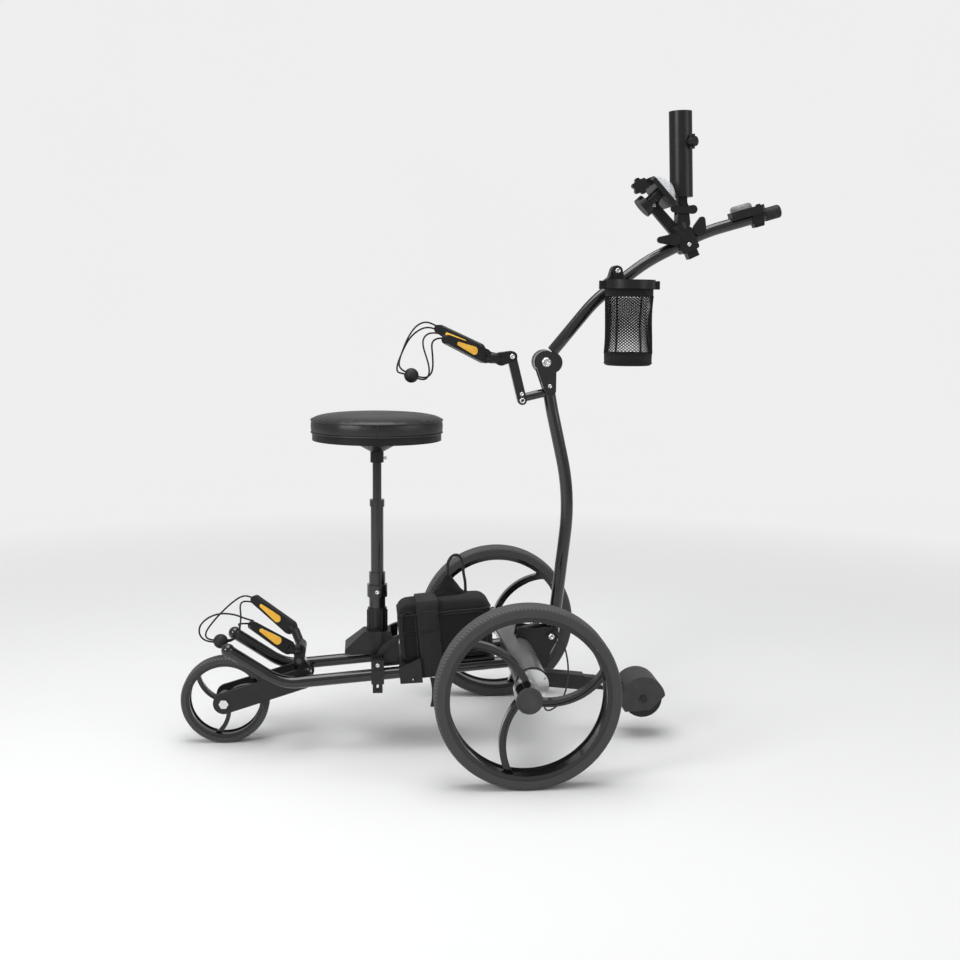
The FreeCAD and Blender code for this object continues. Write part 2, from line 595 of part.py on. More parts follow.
def fold_bracket():
    outline = [(8, 190), (12, 215), (24, 215), (44, 212), (66, 214), (87, 214), (91, 200), (85, 185),
               (75, 168), (69, 137), (54, 137), (40, 150), (20, 170)]
    housing = y_cyl(MOTOR_X, MOTOR_Z, -30, 30, MOTOR_R + SKIN_GAP)
    plates = []
    for y0 in (-FOLD_HALF - FOLD_T, FOLD_HALF):
        plate = y_prism(outline, y0, y0 + FOLD_T).cut(housing)
        plate = plate.cut(y_cyl(FOLD_X, FOLD_Z, y0 - 1, y0 + 9, PIVOT_R + SKIN_GAP))
        plates.append(biggest(plate.cut(y_cyl(LOCK_X, LOCK_Z, y0 - 1, y0 + 9, 3 + SKIN_GAP))))
    reach = FOLD_HALF + FOLD_T + SKIN_GAP
    bolt = y_cyl(FOLD_X, FOLD_Z, -reach - 1, reach + 1, PIVOT_R)
    for side in (-1, 1):
        ends = sorted((side * reach, side * (reach + 5)))
        bolt = bolt.fuse(y_cyl(FOLD_X, FOLD_Z, ends[0], ends[1], 8))
    rod = y_cyl(LOCK_X, LOCK_Z, -FOLD_HALF - FOLD_T - 2, FOLD_HALF + FOLD_T + 2, 3)
    lean = math.atan2(14, 50)
    direction = (math.cos(lean), 0, math.sin(lean))
    rod = rod.fuse(cyl((LOCK_X - 3, 0, LOCK_Z - 1), direction, 5.0, 44))
    for k in range(8):
        along = 1.0 + 5.2 * k
        start = (LOCK_X - 3 + direction[0] * along, 0, LOCK_Z - 1 + direction[2] * along)
        rod = rod.fuse(cyl(start, direction, 6.5, 3.0))
    parts["fold_bracket"] = group(*plates, bolt, rod)


ANTITIP_DROP = math.radians(ANTITIP_DROP_DEG)
SLEEVE_X0, SLEEVE_Z0 = 26.0, 117.0
SLEEVE_LENGTH = 114.0
SLEEVE_HALF = 14.0
BAR_HALF = 11.0


def along_bar(s, v):
    return (SLEEVE_X0 + s * math.cos(ANTITIP_DROP) + v * math.sin(ANTITIP_DROP),
            SLEEVE_Z0 - s * math.sin(ANTITIP_DROP) + v * math.cos(ANTITIP_DROP))


def bar_box(s0, s1, half_y, v0, v1):
    corners = ((s0, v0), (s1, v0), (s1, v1), (s0, v1))
    return y_prism([along_bar(s, v) for s, v in corners], -half_y, half_y)


def anti_tip():
    sleeve = bar_box(0, SLEEVE_LENGTH, SLEEVE_HALF, -SLEEVE_HALF, SLEEVE_HALF)
    housing = y_cyl(MOTOR_X, MOTOR_Z, -60, 60, MOTOR_R + SKIN_GAP)
    saddle = y_cyl(MOTOR_X, MOTOR_Z, -22, 22, MOTOR_R + 6)
    saddle = saddle.cut(box(-40, 60, -30, 30, MOTOR_Z - 4, MOTOR_Z + 60))
    saddle = saddle.cut(box(MOTOR_X + 22, MOTOR_X + 60, -30, 30, MOTOR_Z - 60, MOTOR_Z))
    web = box(6, 48, -8, 8, 116, 142)
    sleeve = sleeve.fuse(saddle).fuse(web).cut(housing)
    bore = BAR_HALF + SLIDING
    parts["antitip_sleeve"] = sleeve.cut(bar_box(-2, SLEEVE_LENGTH + 1, bore, -bore, bore))

    bar = bar_box(24, 168, BAR_HALF, -BAR_HALF, BAR_HALF)
    bar = bar.cut(bar_box(20, 150, BAR_HALF - 1.5, -BAR_HALF + 1.5, BAR_HALF - 1.5))
    start = along_bar(160, 0)
    arm = y_prism([(start[0] - 4, start[1] - 10.5), (start[0] - 2, start[1] + 10),
                   (ROLLER_X - 20, ROLLER_Z + 22), (ROLLER_X - 20, ROLLER_Z - 6)], -10.8, 10.8)
    bar = bar.fuse(arm).cut(y_cyl(ROLLER_X, ROLLER_Z, -60, 60, HOOD_R + SKIN_GAP))
    axle = y_cyl(ROLLER_X, ROLLER_Z, -HOOD_OUT - 1, HOOD_OUT + 1, PIVOT_R)
    for side in (-1, 1):
        ends = sorted((side * (HOOD_OUT + SKIN_GAP), side * (HOOD_OUT + 4)))
        axle = axle.fuse(hexagon(ROLLER_X, ROLLER_Z, ends[0], ends[1], 7.5))
    parts["antitip_bar"] = group(biggest(bar), axle)

    hood = y_cyl(ROLLER_X, ROLLER_Z, -HOOD_OUT, HOOD_OUT, HOOD_R)
    hood = hood.cut(y_cyl(ROLLER_X, ROLLER_Z, -HOOD_IN, HOOD_IN, ROLLER_R + 2.5))
    below = y_prism([(ROLLER_X - 60, ROLLER_Z - 26), (ROLLER_X + 14, ROLLER_Z - 22),
                     (ROLLER_X + 60, ROLLER_Z + 24), (ROLLER_X + 60, ROLLER_Z - 60),
                     (ROLLER_X - 60, ROLLER_Z - 60)], -60, 60)
    parts["antitip_hood"] = hood.cut(below).cut(y_cyl(ROLLER_X, ROLLER_Z, -60, 60, PIVOT_R + SKIN_GAP))
    roller = ring(ROLLER_X, ROLLER_Z, -ROLLER_HALF_W, ROLLER_HALF_W, ROLLER_R, PIVOT_R + RUNNING)
    edges = [e for e in roller.Edges if e.BoundBox.YLength < 0.01 and e.BoundBox.XLength > ROLLER_R]
    parts["antitip_roller"] = roller.makeFillet(2.5, edges)


HOOD_R = ROLLER_R + 5.5
HOOD_IN = ROLLER_HALF_W + 1.0
HOOD_OUT = HOOD_IN + 3.0


# ---------------------------------------------------------------- upper frame
CHEEK_IN = 12.0
CHEEK_T = 6.0
ARM_Z = 657.0
LINK_TOP = (-4.0, 722.0)
LINK_LOW = (16.5, 641.0)
LINK_R = 8.5
EAR_IN = 8.3


def main_frame():
    path = [(79, 0, 186), (109, 0, 462), (73, 0, 622), (63, 0, 677)]
    tube = bent_tube(path, [430, 300], MAIN_TUBE_R, 1.8)
    boss = y_cyl(FOLD_X, FOLD_Z, -FOLD_HALF + SEAT_GAP, FOLD_HALF - SEAT_GAP, 10)
    foot = tapered((FOLD_X, FOLD_Z), 10, (FOLD_X + 6, FOLD_Z + 24), 9, -8, 8)
    tube = tube.fuse(boss).fuse(foot)
    tube = tube.cut(y_cyl(FOLD_X, FOLD_Z, -30, 30, PIVOT_R + RUNNING))
    low = (KNUCKLE_X + 9, KNUCKLE_Z - 52)
    for y0 in (-CHEEK_IN - CHEEK_T, CHEEK_IN):
        tube = tube.fuse(tapered((KNUCKLE_X, KNUCKLE_Z), 19.5, low, 10.5, y0, y0 + CHEEK_T))
    yoke = tapered((KNUCKLE_X + 6.5, KNUCKLE_Z - 43), 9.0, low, 9.5, -CHEEK_IN - 1, CHEEK_IN + 1)
    tube = tube.fuse(yoke)
    parts["main_tube"] = tube.cut(y_cyl(KNUCKLE_X, KNUCKLE_Z, -30, 30, PIVOT_R + SKIN_GAP))

    reach = CHEEK_IN + CHEEK_T + SKIN_GAP
    bolt = y_cyl(KNUCKLE_X, KNUCKLE_Z, -reach - 1, reach + 14, PIVOT_R)
    bolt = bolt.fuse(y_cyl(KNUCKLE_X, KNUCKLE_Z, -reach - 3, -reach, 7))
    bolt = bolt.fuse(y_cyl(KNUCKLE_X, KNUCKLE_Z, reach, reach + 3, 22.5))
    bolt = bolt.fuse(y_cyl(KNUCKLE_X, KNUCKLE_Z, reach + 3, reach + 15, 17))
    parts["knuckle_bolt"] = bolt

    arm_end = KNUCKLE_X + 12
    arm = cyl((arm_end, 0, ARM_Z + 1), (LINK_LOW[0] - arm_end, 0, LINK_LOW[1] + 4 - ARM_Z - 1), 8.0, 54)
    arm = biggest(arm.cut(swept(rounded_path(path, [430, 300]), MAIN_TUBE_R + SKIN_GAP)).cut(
        tapered((KNUCKLE_X, KNUCKLE_Z), 20, low, 11, -30, 30)))
    bar = tapered(LINK_LOW, LINK_R, LINK_TOP, LINK_R, -8, 8)
    pin = y_cyl(LINK_TOP[0], LINK_TOP[1], -16, 16, 4)
    for x, z in (LINK_LOW, (LINK_LOW[0] - 1, LINK_LOW[1] + 12)):
        pin = pin.fuse(y_cyl(x, z, -10, 10, 4))
    parts["upper_link"] = arm.fuse(bar).fuse(pin)


def paddle(root, tip, length, width):
    """A flat bag arm's outer part, from the tip back along its length, with a slot for its inlay.

    Its flat faces look sideways; the inlay goes right through and stands proud on both faces.
    """
    back = (Vec(*tip) - Vec(*root)).normalize() * -length
    begin = Vec(*tip) + back
    heading = Vec(*tip) - begin
    half = width / 2
    blank = tapered((0, 0), half, (length - half * 0.7, 0), half * 0.62, -6, 6)
    blank = blank.fuse(box(length * 0.15, length - half * 0.7, -6, 6, -half * 0.62, half * 0.62))
    slot = tapered((length * 0.3, 0), 7.6, (length * 0.3 + 40, 0), 3.6, -7, 7)
    inlay = tapered((length * 0.3, 0), 7.4, (length * 0.3 + 40, 0), 3.4, -6.8, 6.8)
    up = Vec(0, 0, 1)
    sideways = up.cross(heading).normalize()
    place = (begin.x, begin.y, begin.z)
    flip = (sideways.x, sideways.y, sideways.z)
    along = (heading.x, heading.y, heading.z)
    return framed(blank.cut(slot), place, along, flip), framed(inlay, place, along, flip)


UPPER_TIPS = ((-135.0, -92.0, 757.0), (-139.0, 92.0, 773.0))
LOWER_TIPS = ((-480.0, -88.0, 246.0), (-490.0, 88.0, 256.0))


def cradle(name, pivot, pivot_pin_r, ear_in, ear_out, ear_room, palm, palm_r, elbows, tips, lengths,
           cord_exits):
    """Two ears on the pivot pin, a palm ahead of them and an arm to each side."""
    hub = tapered(palm, palm_r, pivot, 9.5, -ear_out, ear_out)
    hub = hub.cut(y_cyl(pivot[0], pivot[1], -ear_in, ear_in, ear_room))
    inlays = []
    body = hub.cut(y_cyl(pivot[0], pivot[1], -60, 60, pivot_pin_r + RUNNING))
    for elbow, tip, length in zip(elbows, tips, lengths):
        side = 1 if tip[1] > 0 else -1
        outer, inlay = paddle(elbow, tip, length, 26)
        start = Vec(palm[0], side * (ear_out - 8), palm[1])
        stem = Vec(*elbow) - start
        rod = Part.makeCylinder(8.5, stem.Length, start, stem)
        begin = Vec(*tip) - (Vec(*tip) - Vec(*elbow)).normalize() * length
        inner = begin - Vec(*elbow)
        body = body.fuse(rod).fuse(Part.makeSphere(8.5, Vec(*elbow)))
        if inner.Length > 1:
            body = body.fuse(Part.makeCylinder(8.5, inner.Length, Vec(*elbow), inner))
        body = body.fuse(outer)
        inlays.append(inlay)
    for start, out in cord_exits:
        body = body.cut(cyl(start, Vec(*out) - Vec(*start), CORD_R + SKIN_GAP * 4, 40))
    parts[name + "_bag_arms"] = body
    parts[name + "_arm_inlays"] = group(*inlays)


def exits(*strands):
    """The first run of each strand at both of its ends, from inside the arm outwards."""
    return [(s[0], s[1]) for s in strands] + [(s[-1], s[-2]) for s in strands]


def bag_cradles():
    cradle("upper", LINK_TOP, 4.0, EAR_IN, 15.0, 15.5,
           palm=(LINK_TOP[0] - 20, LINK_TOP[1] - 5), palm_r=12.0,
           elbows=((-45, -22, 718), (-45, 22, 722)), tips=UPPER_TIPS, lengths=(104, 104),
           cord_exits=exits(UPPER_STRAND_A, UPPER_STRAND_B))
    cradle("lower", (CRADLE_X, CRADLE_Z), PIVOT_R, TONGUE_HALF + SEAT_GAP, 23.0, 12.5,
           palm=(CRADLE_X + 2, CRADLE_Z + 20), palm_r=11.0,
           elbows=((-408, -46, 186), (-406, 52, 196)), tips=LOWER_TIPS, lengths=(92, 96),
           cord_exits=exits(LOWER_STRAND_A, LOWER_STRAND_B))


def pad_ball(centre, heading):
    """The bungee's ball, with a bore for its two strands."""
    ball = Part.makeSphere(PAD_R, Vec(*centre))
    start = Vec(*centre) - Vec(*heading) * 20
    return ball.cut(Part.makeCylinder(3.8, 40, start, Vec(*heading)))


UPPER_BALL = (-188.0, 0.0, 686.0)
LOWER_BALL = (-541.0, 0.0, 191.5)
UPPER_STRAND_A = [
    (-131, 88, 771), (-144, 92, 779), (-159, 89, 783), (-174, 79, 777), (-186, 65, 764), (-196, 51, 747),
    (-203, 36, 730), (-209, 23, 715), (-211, 9, 702), (-201.5, 0, 692.8), (-173.3, 0, 682.6),
    (-160, -3, 682), (-152, -14, 690), (-150, -29, 702), (-151, -45, 717), (-153, -61, 732),
    (-155, -76, 745), (-152, -88, 753), (-142, -94, 757), (-130, -90, 756)]
UPPER_STRAND_B = [
    (-131, 86, 766), (-146, 90, 772), (-161, 86, 772), (-175, 76, 765), (-188, 62, 754), (-198, 48, 739),
    (-207, 33, 720), (-214, 19, 703), (-214, 6, 691), (-202.7, 0, 689.4), (-174.5, 0, 679.2),
    (-161, 3, 678), (-154, 12, 689), (-155, 27, 705), (-160, 43, 722), (-164, 59, 736),
    (-164, 74, 749), (-158, 84, 758), (-146, 87, 763), (-132, 83, 761)]
LOWER_STRAND_A = [
    (-483, 82, 252), (-496, 88, 258), (-511, 87, 257), (-526, 77, 248), (-541, 64, 236), (-554, 50, 224),
    (-565, 35, 212), (-571, 21, 203), (-569, 8, 196), (-556, 0, 193.3), (-526, 0, 193.3),
    (-513, -4, 198), (-506, -15, 206), (-503, -29, 217), (-501, -46, 228), (-501, -63, 237),
    (-500, -79, 243), (-495, -90, 246), (-484, -93, 247), (-472, -86, 245)]
LOWER_STRAND_B = [
    (-473, -86, 250), (-487, -93, 256), (-502, -91, 262), (-519, -82, 263), (-536, -70, 260),
    (-553, -58, 252), (-567, -45, 240), (-576, -31, 226), (-578, -17, 209), (-571, -5, 195), (-556, 0, 189.7),
    (-526, 0, 189.7), (-514, 6, 195), (-508, 17, 206), (-507, 33, 219), (-508, 50, 231),
    (-511, 66, 241), (-510, 80, 247), (-500, 87, 248), (-487, 83, 246)]
STRAND_BORE_R = 4.4


def pad_ball(centre, heading):
    """The bungee's ball, with a bore for its two strands."""
    ball = Part.makeSphere(PAD_R, Vec(*centre))
    start = Vec(*centre) - heading * 20
    return ball.cut(Part.makeCylinder(STRAND_BORE_R, 40, start, heading))


def bungees():
    """Each bungee is two elastic strands between the arms' tips, both through the ball."""
    parts["upper_bungee_a"] = cord(UPPER_STRAND_A, CORD_R)
    parts["upper_bungee_b"] = cord(UPPER_STRAND_B, CORD_R)
    parts["upper_ball"] = pad_ball(UPPER_BALL, Vec(28.2, 0, -10.2).normalize())
    parts["lower_bungee_a"] = cord(LOWER_STRAND_A, CORD_R)
    parts["lower_bungee_b"] = cord(LOWER_STRAND_B, CORD_R)
    parts["lower_ball"] = pad_ball(LOWER_BALL, Vec(1, 0, 0))


# ---------------------------------------------------------------- handle
HANDLE_PATH = [(KNUCKLE_X + 14, 0, KNUCKLE_Z + 19), (150, 0, 826), (246, 0, 898), (352, 0, 952),
               (HANDLE_TIP_X, 0, HANDLE_TIP_Z)]
HANDLE_BENDS = [230, 300, 320]
BOX_X = 432.0
BOX_LENGTH = 62.0
HANDLE_SLOPE = math.atan2(HANDLE_TIP_Z - 952, HANDLE_TIP_X - 352)


def handle_local(x_ref):
    """The point on the handle's last run above x_ref, and the directions along and across it."""
    z_ref = 952 + (x_ref - 352) * math.tan(HANDLE_SLOPE)
    along = (math.cos(HANDLE_SLOPE), 0, math.sin(HANDLE_SLOPE))
    return (x_ref, 0, z_ref), along


def handle():
    tube = bent_tube(HANDLE_PATH, HANDLE_BENDS, TUBE_R, TUBE_WALL)
    lug = tapered((KNUCKLE_X, KNUCKLE_Z), 20.5, (KNUCKLE_X + 12, KNUCKLE_Z - 1), 19.5,
                  -CHEEK_IN + SEAT_GAP, CHEEK_IN - SEAT_GAP)
    tube = tube.fuse(lug).cut(y_cyl(KNUCKLE_X, KNUCKLE_Z, -30, 30, PIVOT_R + RUNNING))
    parts["handle_tube"] = tube
    handle_bar = swept(rounded_path(HANDLE_PATH, HANDLE_BENDS), TUBE_R + SKIN_GAP)

    tip, along = handle_local(HANDLE_TIP_X)
    grip = Part.makeCylinder(TUBE_R + 1.2, 30, Vec(*tip) - Vec(*along) * 22, Vec(*along))
    end_edge = [e for e in grip.Edges if e.BoundBox.XMax > tip[0] + 6 and e.Length > 60]
    parts["handle_end_grip"] = grip.makeFillet(5, end_edge[-1:]).cut(handle_bar)

    place, along = handle_local(BOX_X)
    half = BOX_LENGTH / 2
    blank = box(-half, half, -21, 21, 5, 20)
    blank = blank.makeFillet(6, [e for e in blank.Edges if e.BoundBox.ZLength > 10])
    bulge = box(6, 26, -9, 9, -18, -4)
    bulge = bulge.makeFillet(3, [e for e in bulge.Edges if e.BoundBox.YLength > 10 and e.BoundBox.ZMin < -17])
    yoke = box(6, 26, -13.5, -9, -12, 8).fuse(box(6, 26, 9, 13.5, -12, 8))
    control = framed(blank.fuse(bulge).fuse(yoke), place, along, (0, 1, 0)).cut(handle_bar)
    well = framed(z_cyl(-8, 0, 17, 21, 4 + RUNNING), place, along, (0, 1, 0))
    shaft = z_cyl(-8, 0, 18, 22, 4)
    socket = framed(z_cyl(24.5, 0, 17, 21, 4.5 + SLIDING), place, along, (0, 1, 0))
    parts["control_box"] = biggest(control.cut(well).cut(socket))
    dome = z_cyl(-8, 0, 20.3, 30, 20)
    dome = dome.makeFillet(6, [e for e in dome.Edges if abs(e.BoundBox.ZMin - 30) < 0.01 and e.Length > 60])
    parts["control_dial"] = framed(dome.fuse(shaft), place, along, (0, 1, 0))
    button = z_cyl(24.5, 0, 18.8, 22.5, 4.5)
    parts["power_button"] = framed(button, place, along, (0, 1, 0))
    return handle_bar


CLAMP = (315.0, 0.0, 934.5)
CLAMP_SLOPE = math.radians(25)
UMBRELLA_PIVOT = (306.5, 996.0)
CARD_PIVOT = (252.0, 998.0)
CUP_PIVOT = (187.0, 879.0)
LUG_HALF = 9.0


def clamps(handle_bar):
    """The accessory clamp with its arm and ears, and the cup holder's clamp, both on the handle."""
    along = (math.cos(CLAMP_SLOPE), 0, math.sin(CLAMP_SLOPE))
    block = box(-17, 17, -19, 19, -20, 22)
    block = block.makeFillet(5, [e for e in block.Edges if e.BoundBox.YLength > 30])
    jaw = box(-8, 12, -13, 13, -33, -18)
    shoulder = z_cyl(0, 0, 20, 34, 18)
    body = framed(block.fuse(jaw).fuse(shoulder), CLAMP, along, (0, 1, 0))
    ear_x, ear_z = UMBRELLA_PIVOT
    ears = tapered((ear_x, ear_z), 10, (ear_x + 2, ear_z - 30), 12, -LUG_HALF - 5.5, LUG_HALF + 5.5)
    ears = ears.cut(box(ear_x - 30, ear_x + 30, -LUG_HALF - SEAT_GAP, LUG_HALF + SEAT_GAP,
                        ear_z - 14, ear_z + 40))
    pin = y_cyl(ear_x, ear_z, -LUG_HALF - 10, LUG_HALF + 7, 4)
    wing = tapered((ear_x - 17, ear_z - 4), 7, (ear_x, ear_z - 6), 6, -LUG_HALF - 12, -LUG_HALF - 6)
    wing = wing.fuse(tapered((ear_x + 17, ear_z - 5), 8, (ear_x, ear_z - 6), 6,
                             -LUG_HALF - 12, -LUG_HALF - 6))
    arm = tapered((CLAMP[0] - 22, CLAMP[2] + 20), 10, CARD_PIVOT, 9, -7, 7)
    neck = tapered((CLAMP[0] - 22, CLAMP[2] + 20), 10, (CLAMP[0] - 5, CLAMP[2] + 10), 10, -7, 7)
    lever = tapered((CLAMP[0] - 50, CLAMP[2] + 1), 6, (CLAMP[0] - 24, CLAMP[2] + 2), 11, -22, -14)
    right = tapered((CLAMP[0] + 26, CLAMP[2] + 38), 6, (CLAMP[0] + 22, CLAMP[2] + 22), 12, -20, -12)
    body = body.fuse(ears).fuse(pin).fuse(wing).fuse(arm).fuse(neck).fuse(lever).fuse(right)
    card_pin = y_cyl(CARD_PIVOT[0], CARD_PIVOT[1], -14, 14, 3.5)
    parts["accessory_clamp"] = body.fuse(card_pin).cut(handle_bar)

    cup_along = (math.cos(math.radians(40)), 0, math.sin(math.radians(40)))
    holder = box(-15, 15, -17, 17, -17, 17)
    holder = holder.makeFillet(5, [e for e in holder.Edges if e.BoundBox.YLength > 30])
    holder = framed(holder, (184, 0, 854.5), cup_along, (0, 1, 0))
    lug = tapered(CUP_PIVOT, 10, (184, 862), 12, -13, 13)
    holder = holder.fuse(lug).cut(handle_bar)
    parts["cup_clamp"] = holder.cut(y_cyl(CUP_PIVOT[0], CUP_PIVOT[1], -20, 8, PIVOT_R + RUNNING))


def cup_holder():
    band = z_cyl(CUP_X, CUP_Y, CUP_TOP - 16, CUP_TOP, CUP_R)
    for side in (-1, 1):
        x0, x1 = sorted((CUP_X + side * (CUP_R - 3), CUP_X + side * (CUP_R + 8)))
        band = band.fuse(box(x0, x1, CUP_Y - 5, CUP_Y + 5, CUP_TOP - 17, CUP_TOP - 2))
    tab_y = CUP_Y + CUP_R
    tab = tapered(CUP_PIVOT, 9, (CUP_PIVOT[0] + 3, CUP_TOP - 8), 8, tab_y - 3, tab_y + 2)
    pin = y_cyl(CUP_PIVOT[0], CUP_PIVOT[1], tab_y, 4, PIVOT_R)
    ring_bore = z_cyl(CUP_X, CUP_Y, CUP_TOP - 30, CUP_TOP + 30, CUP_R - 3.2)
    parts["cup_ring"] = band.fuse(tab).fuse(pin).cut(ring_bore)
    wall = 2.0
    outer = CUP_R - 3.2 - SKIN_GAP
    basket = z_cyl(CUP_X, CUP_Y, CUP_BOTTOM, CUP_TOP - 3, outer)
    parts["cup_basket"] = basket.cut(z_cyl(CUP_X, CUP_Y, CUP_BOTTOM + wall, CUP_TOP, outer - wall))


UMBRELLA_LEAN_DEG = -2.3


def umbrella():
    ear_x, ear_z = UMBRELLA_PIVOT
    length = UMBRELLA_TOP - UMBRELLA_BOTTOM
    tube = z_cyl(0, 0, UMBRELLA_BOTTOM - ear_z, UMBRELLA_BOTTOM - ear_z + length, UMBRELLA_R)
    tube = tube.cut(z_cyl(0, 0, UMBRELLA_BOTTOM - ear_z + 5, 400, UMBRELLA_R - UMBRELLA_WALL))
    neck = box(-9, 9, -LUG_HALF, LUG_HALF, 0, UMBRELLA_BOTTOM - ear_z + 2)
    neck = neck.fuse(y_cyl(0, 0, -LUG_HALF, LUG_HALF, 9))
    tube = tube.fuse(neck).cut(y_cyl(0, 0, -30, 30, 4 + RUNNING))
    height = 115.0
    nut_dir = Vec(math.sin(math.radians(38)), -math.cos(math.radians(38)), 0)
    boss = Part.makeCylinder(7, 5, Vec(0, 0, height) + nut_dir * (UMBRELLA_R - 1.5), nut_dir)
    bore = Part.makeCylinder(3 + RUNNING, 14, Vec(0, 0, height) + nut_dir * (UMBRELLA_R - 6), nut_dir)
    lean = FreeCAD.Rotation(Vec(0, 1, 0), UMBRELLA_LEAN_DEG)
    place = FreeCAD.Placement(Vec(ear_x, 0, ear_z), lean)
    holder = tube.fuse(boss).cut(bore)
    tip = UMBRELLA_R - UMBRELLA_WALL + 0.2
    screw = Part.makeCylinder(3, UMBRELLA_R + 8 - tip, Vec(0, 0, height) + nut_dir * tip, nut_dir)
    head = Part.makeCylinder(9, 9, Vec(0, 0, height) + nut_dir * (UMBRELLA_R + 3.8), nut_dir)
    for k in (-1, 1):
        wing = box(-2.5, 2.5, -2.5, 2.5, 0, 13)
        wing.Placement = FreeCAD.Placement(Vec(0, 0, height) + nut_dir * (UMBRELLA_R + 8),
                                           FreeCAD.Rotation(nut_dir, 90 - 90 * k))
        head = head.fuse(wing)
    knob = screw.fuse(head)
    for name, shape in (("umbrella_holder", holder), ("umbrella_screw", knob)):
        shape.Placement = place.multiply(shape.Placement)
        parts[name] = shape


CARD_SLOPE = math.radians(-47)
STAR = (220.0, 1029.0)


def cover_shell(inset, half_y):
    """The domed cover's solid, over the plate's top face; inset makes it smaller all round."""
    floor = 5 + SEAT_GAP
    ends = (Vec(-30 + inset, -half_y, floor), Vec(24 - inset, -half_y, floor))
    crown = Vec(-6, -half_y, 19 - inset)
    bow = Part.Arc(ends[0], crown, ends[1]).toShape()
    base = Part.LineSegment(ends[1], ends[0]).toShape()
    return Part.Face(Part.Wire([bow, base])).extrude(Vec(0, 2 * half_y, 0))


def scorecard():
    """Edge-on plate with its clear cover, hinged on the accessory clamp's arm."""
    centre = (261.5, 0, 1020.0)
    along = (math.cos(CARD_SLOPE), 0, math.sin(CARD_SLOPE))
    plate = box(-32, 32, -52, 52, -4, 5)
    plate = plate.makeFillet(6, [e for e in plate.Edges if e.BoundBox.ZLength > 8])
    body = framed(plate, centre, along, (0, 1, 0))
    px, pz = CARD_PIVOT
    for y0 in (-12.6, 7.3):
        body = body.fuse(tapered((px, pz), 7.5, (centre[0] - 4, centre[2] - 5), 8, y0, y0 + 5.3))
    body = body.cut(y_cyl(px, pz, -30, 30, 3.5 + RUNNING))
    knob = z_cyl(-2.5, -32, -47, -33, 19).fuse(z_cyl(-2.5, -32, -34, -3, 9))
    body = body.fuse(framed(knob, centre, along, (0, 1, 0)))
    star_x, star_z = STAR
    star = y_cyl(star_x, star_z, -48, -36, 12)
    for k in range(6):
        angle = math.radians(60 * k)
        lobe = y_cyl(star_x + 11 * math.cos(angle), star_z + 11 * math.sin(angle), -48, -36, 4.5)
        star = star.fuse(lobe)
    star = star.fuse(tapered((star_x, star_z), 7, (star_x + 20, star_z + 9), 7, -42, -26))
    parts["scorecard_holder"] = body.fuse(star)
    dome = cover_shell(0, 50).cut(cover_shell(2, 48))
    parts["scorecard_cover"] = framed(dome, centre, along, (0, 1, 0))


# ---------------------------------------------------------------- assembly
parts = {}


def build():
    for side in (-1, 1):
        rear_wheel(side)
    front_wheel()
    lower_rails()
    front_fork()
    front_bracket()
    seat_base()
    seat_post()
    battery_tray()
    battery_pack()
    leads()
    drive_unit()
    fold_bracket()
    anti_tip()
    main_frame()
    bag_cradles()
    bungees()
    clamps(handle())
    cup_holder()
    umbrella()
    scorecard()


def export():
    os.makedirs("parts", exist_ok=True)
    overall = FreeCAD.BoundBox()
    for shape in parts.values():
        overall.add(shape.optimalBoundingBox(False, False))
    shift = Vec(-overall.Center.x, -overall.Center.y, -overall.ZMin)
    print("overall %.1f x %.1f x %.1f mm, moved by %.3f %.3f %.3f" % (
        overall.XLength, overall.YLength, overall.ZLength, shift.x, shift.y, shift.z))
    for name, shape in parts.items():
        placed = shape.copy()
        placed.translate(shift)
        placed.exportStep("parts/%s.step" % name)


build()
export()
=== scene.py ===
"""Looks for a three-wheeled electric golf cart with a seat: finishes, soft goods, cords and the stage.

Everything is in metres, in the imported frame: origin on the ground under the middle of the overall box,
+X towards the handle, +Y towards the cart's right side, +Z up.
"""

import json
import math

import bmesh
import bpy
from bpy.props import FloatProperty, FloatVectorProperty, IntProperty, PointerProperty
from mathutils import Matrix, Vector


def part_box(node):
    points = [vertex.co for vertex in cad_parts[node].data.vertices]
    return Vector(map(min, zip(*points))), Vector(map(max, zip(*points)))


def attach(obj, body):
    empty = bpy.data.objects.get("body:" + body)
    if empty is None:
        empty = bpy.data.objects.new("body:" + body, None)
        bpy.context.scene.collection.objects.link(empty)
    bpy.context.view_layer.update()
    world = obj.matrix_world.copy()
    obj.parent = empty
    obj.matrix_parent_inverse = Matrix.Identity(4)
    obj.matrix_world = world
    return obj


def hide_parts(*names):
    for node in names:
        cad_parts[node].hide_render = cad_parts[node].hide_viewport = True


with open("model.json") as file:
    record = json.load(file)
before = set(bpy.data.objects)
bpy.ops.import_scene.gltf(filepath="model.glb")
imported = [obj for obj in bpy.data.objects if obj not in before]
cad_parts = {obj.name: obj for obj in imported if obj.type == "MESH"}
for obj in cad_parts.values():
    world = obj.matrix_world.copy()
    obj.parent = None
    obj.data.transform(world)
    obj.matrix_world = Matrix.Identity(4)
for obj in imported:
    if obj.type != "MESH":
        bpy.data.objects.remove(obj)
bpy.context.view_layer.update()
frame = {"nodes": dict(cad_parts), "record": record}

bl_info = {
    "name": "Golf Cart Finishes",
    "version": (1, 0, 0),
    "blender": (4, 5, 0),
    "location": "View3D > Sidebar > Golf Cart",
    "description": "Materials, soft goods, cords and a studio for a powered golf cart",
    "category": "Object",
}

MM = 0.001

# The cart is measured from the ground under its rear axle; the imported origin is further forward.
AXLE_X = sum(c.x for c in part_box("tyre_left")) / 2
WHEEL_R = (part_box("tyre_left")[1].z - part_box("tyre_left")[0].z) / 2


def at(x, y, z):
    """A point in millimetres from the ground under the rear axle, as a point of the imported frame."""
    return Vector((x * MM + AXLE_X, y * MM, z * MM))


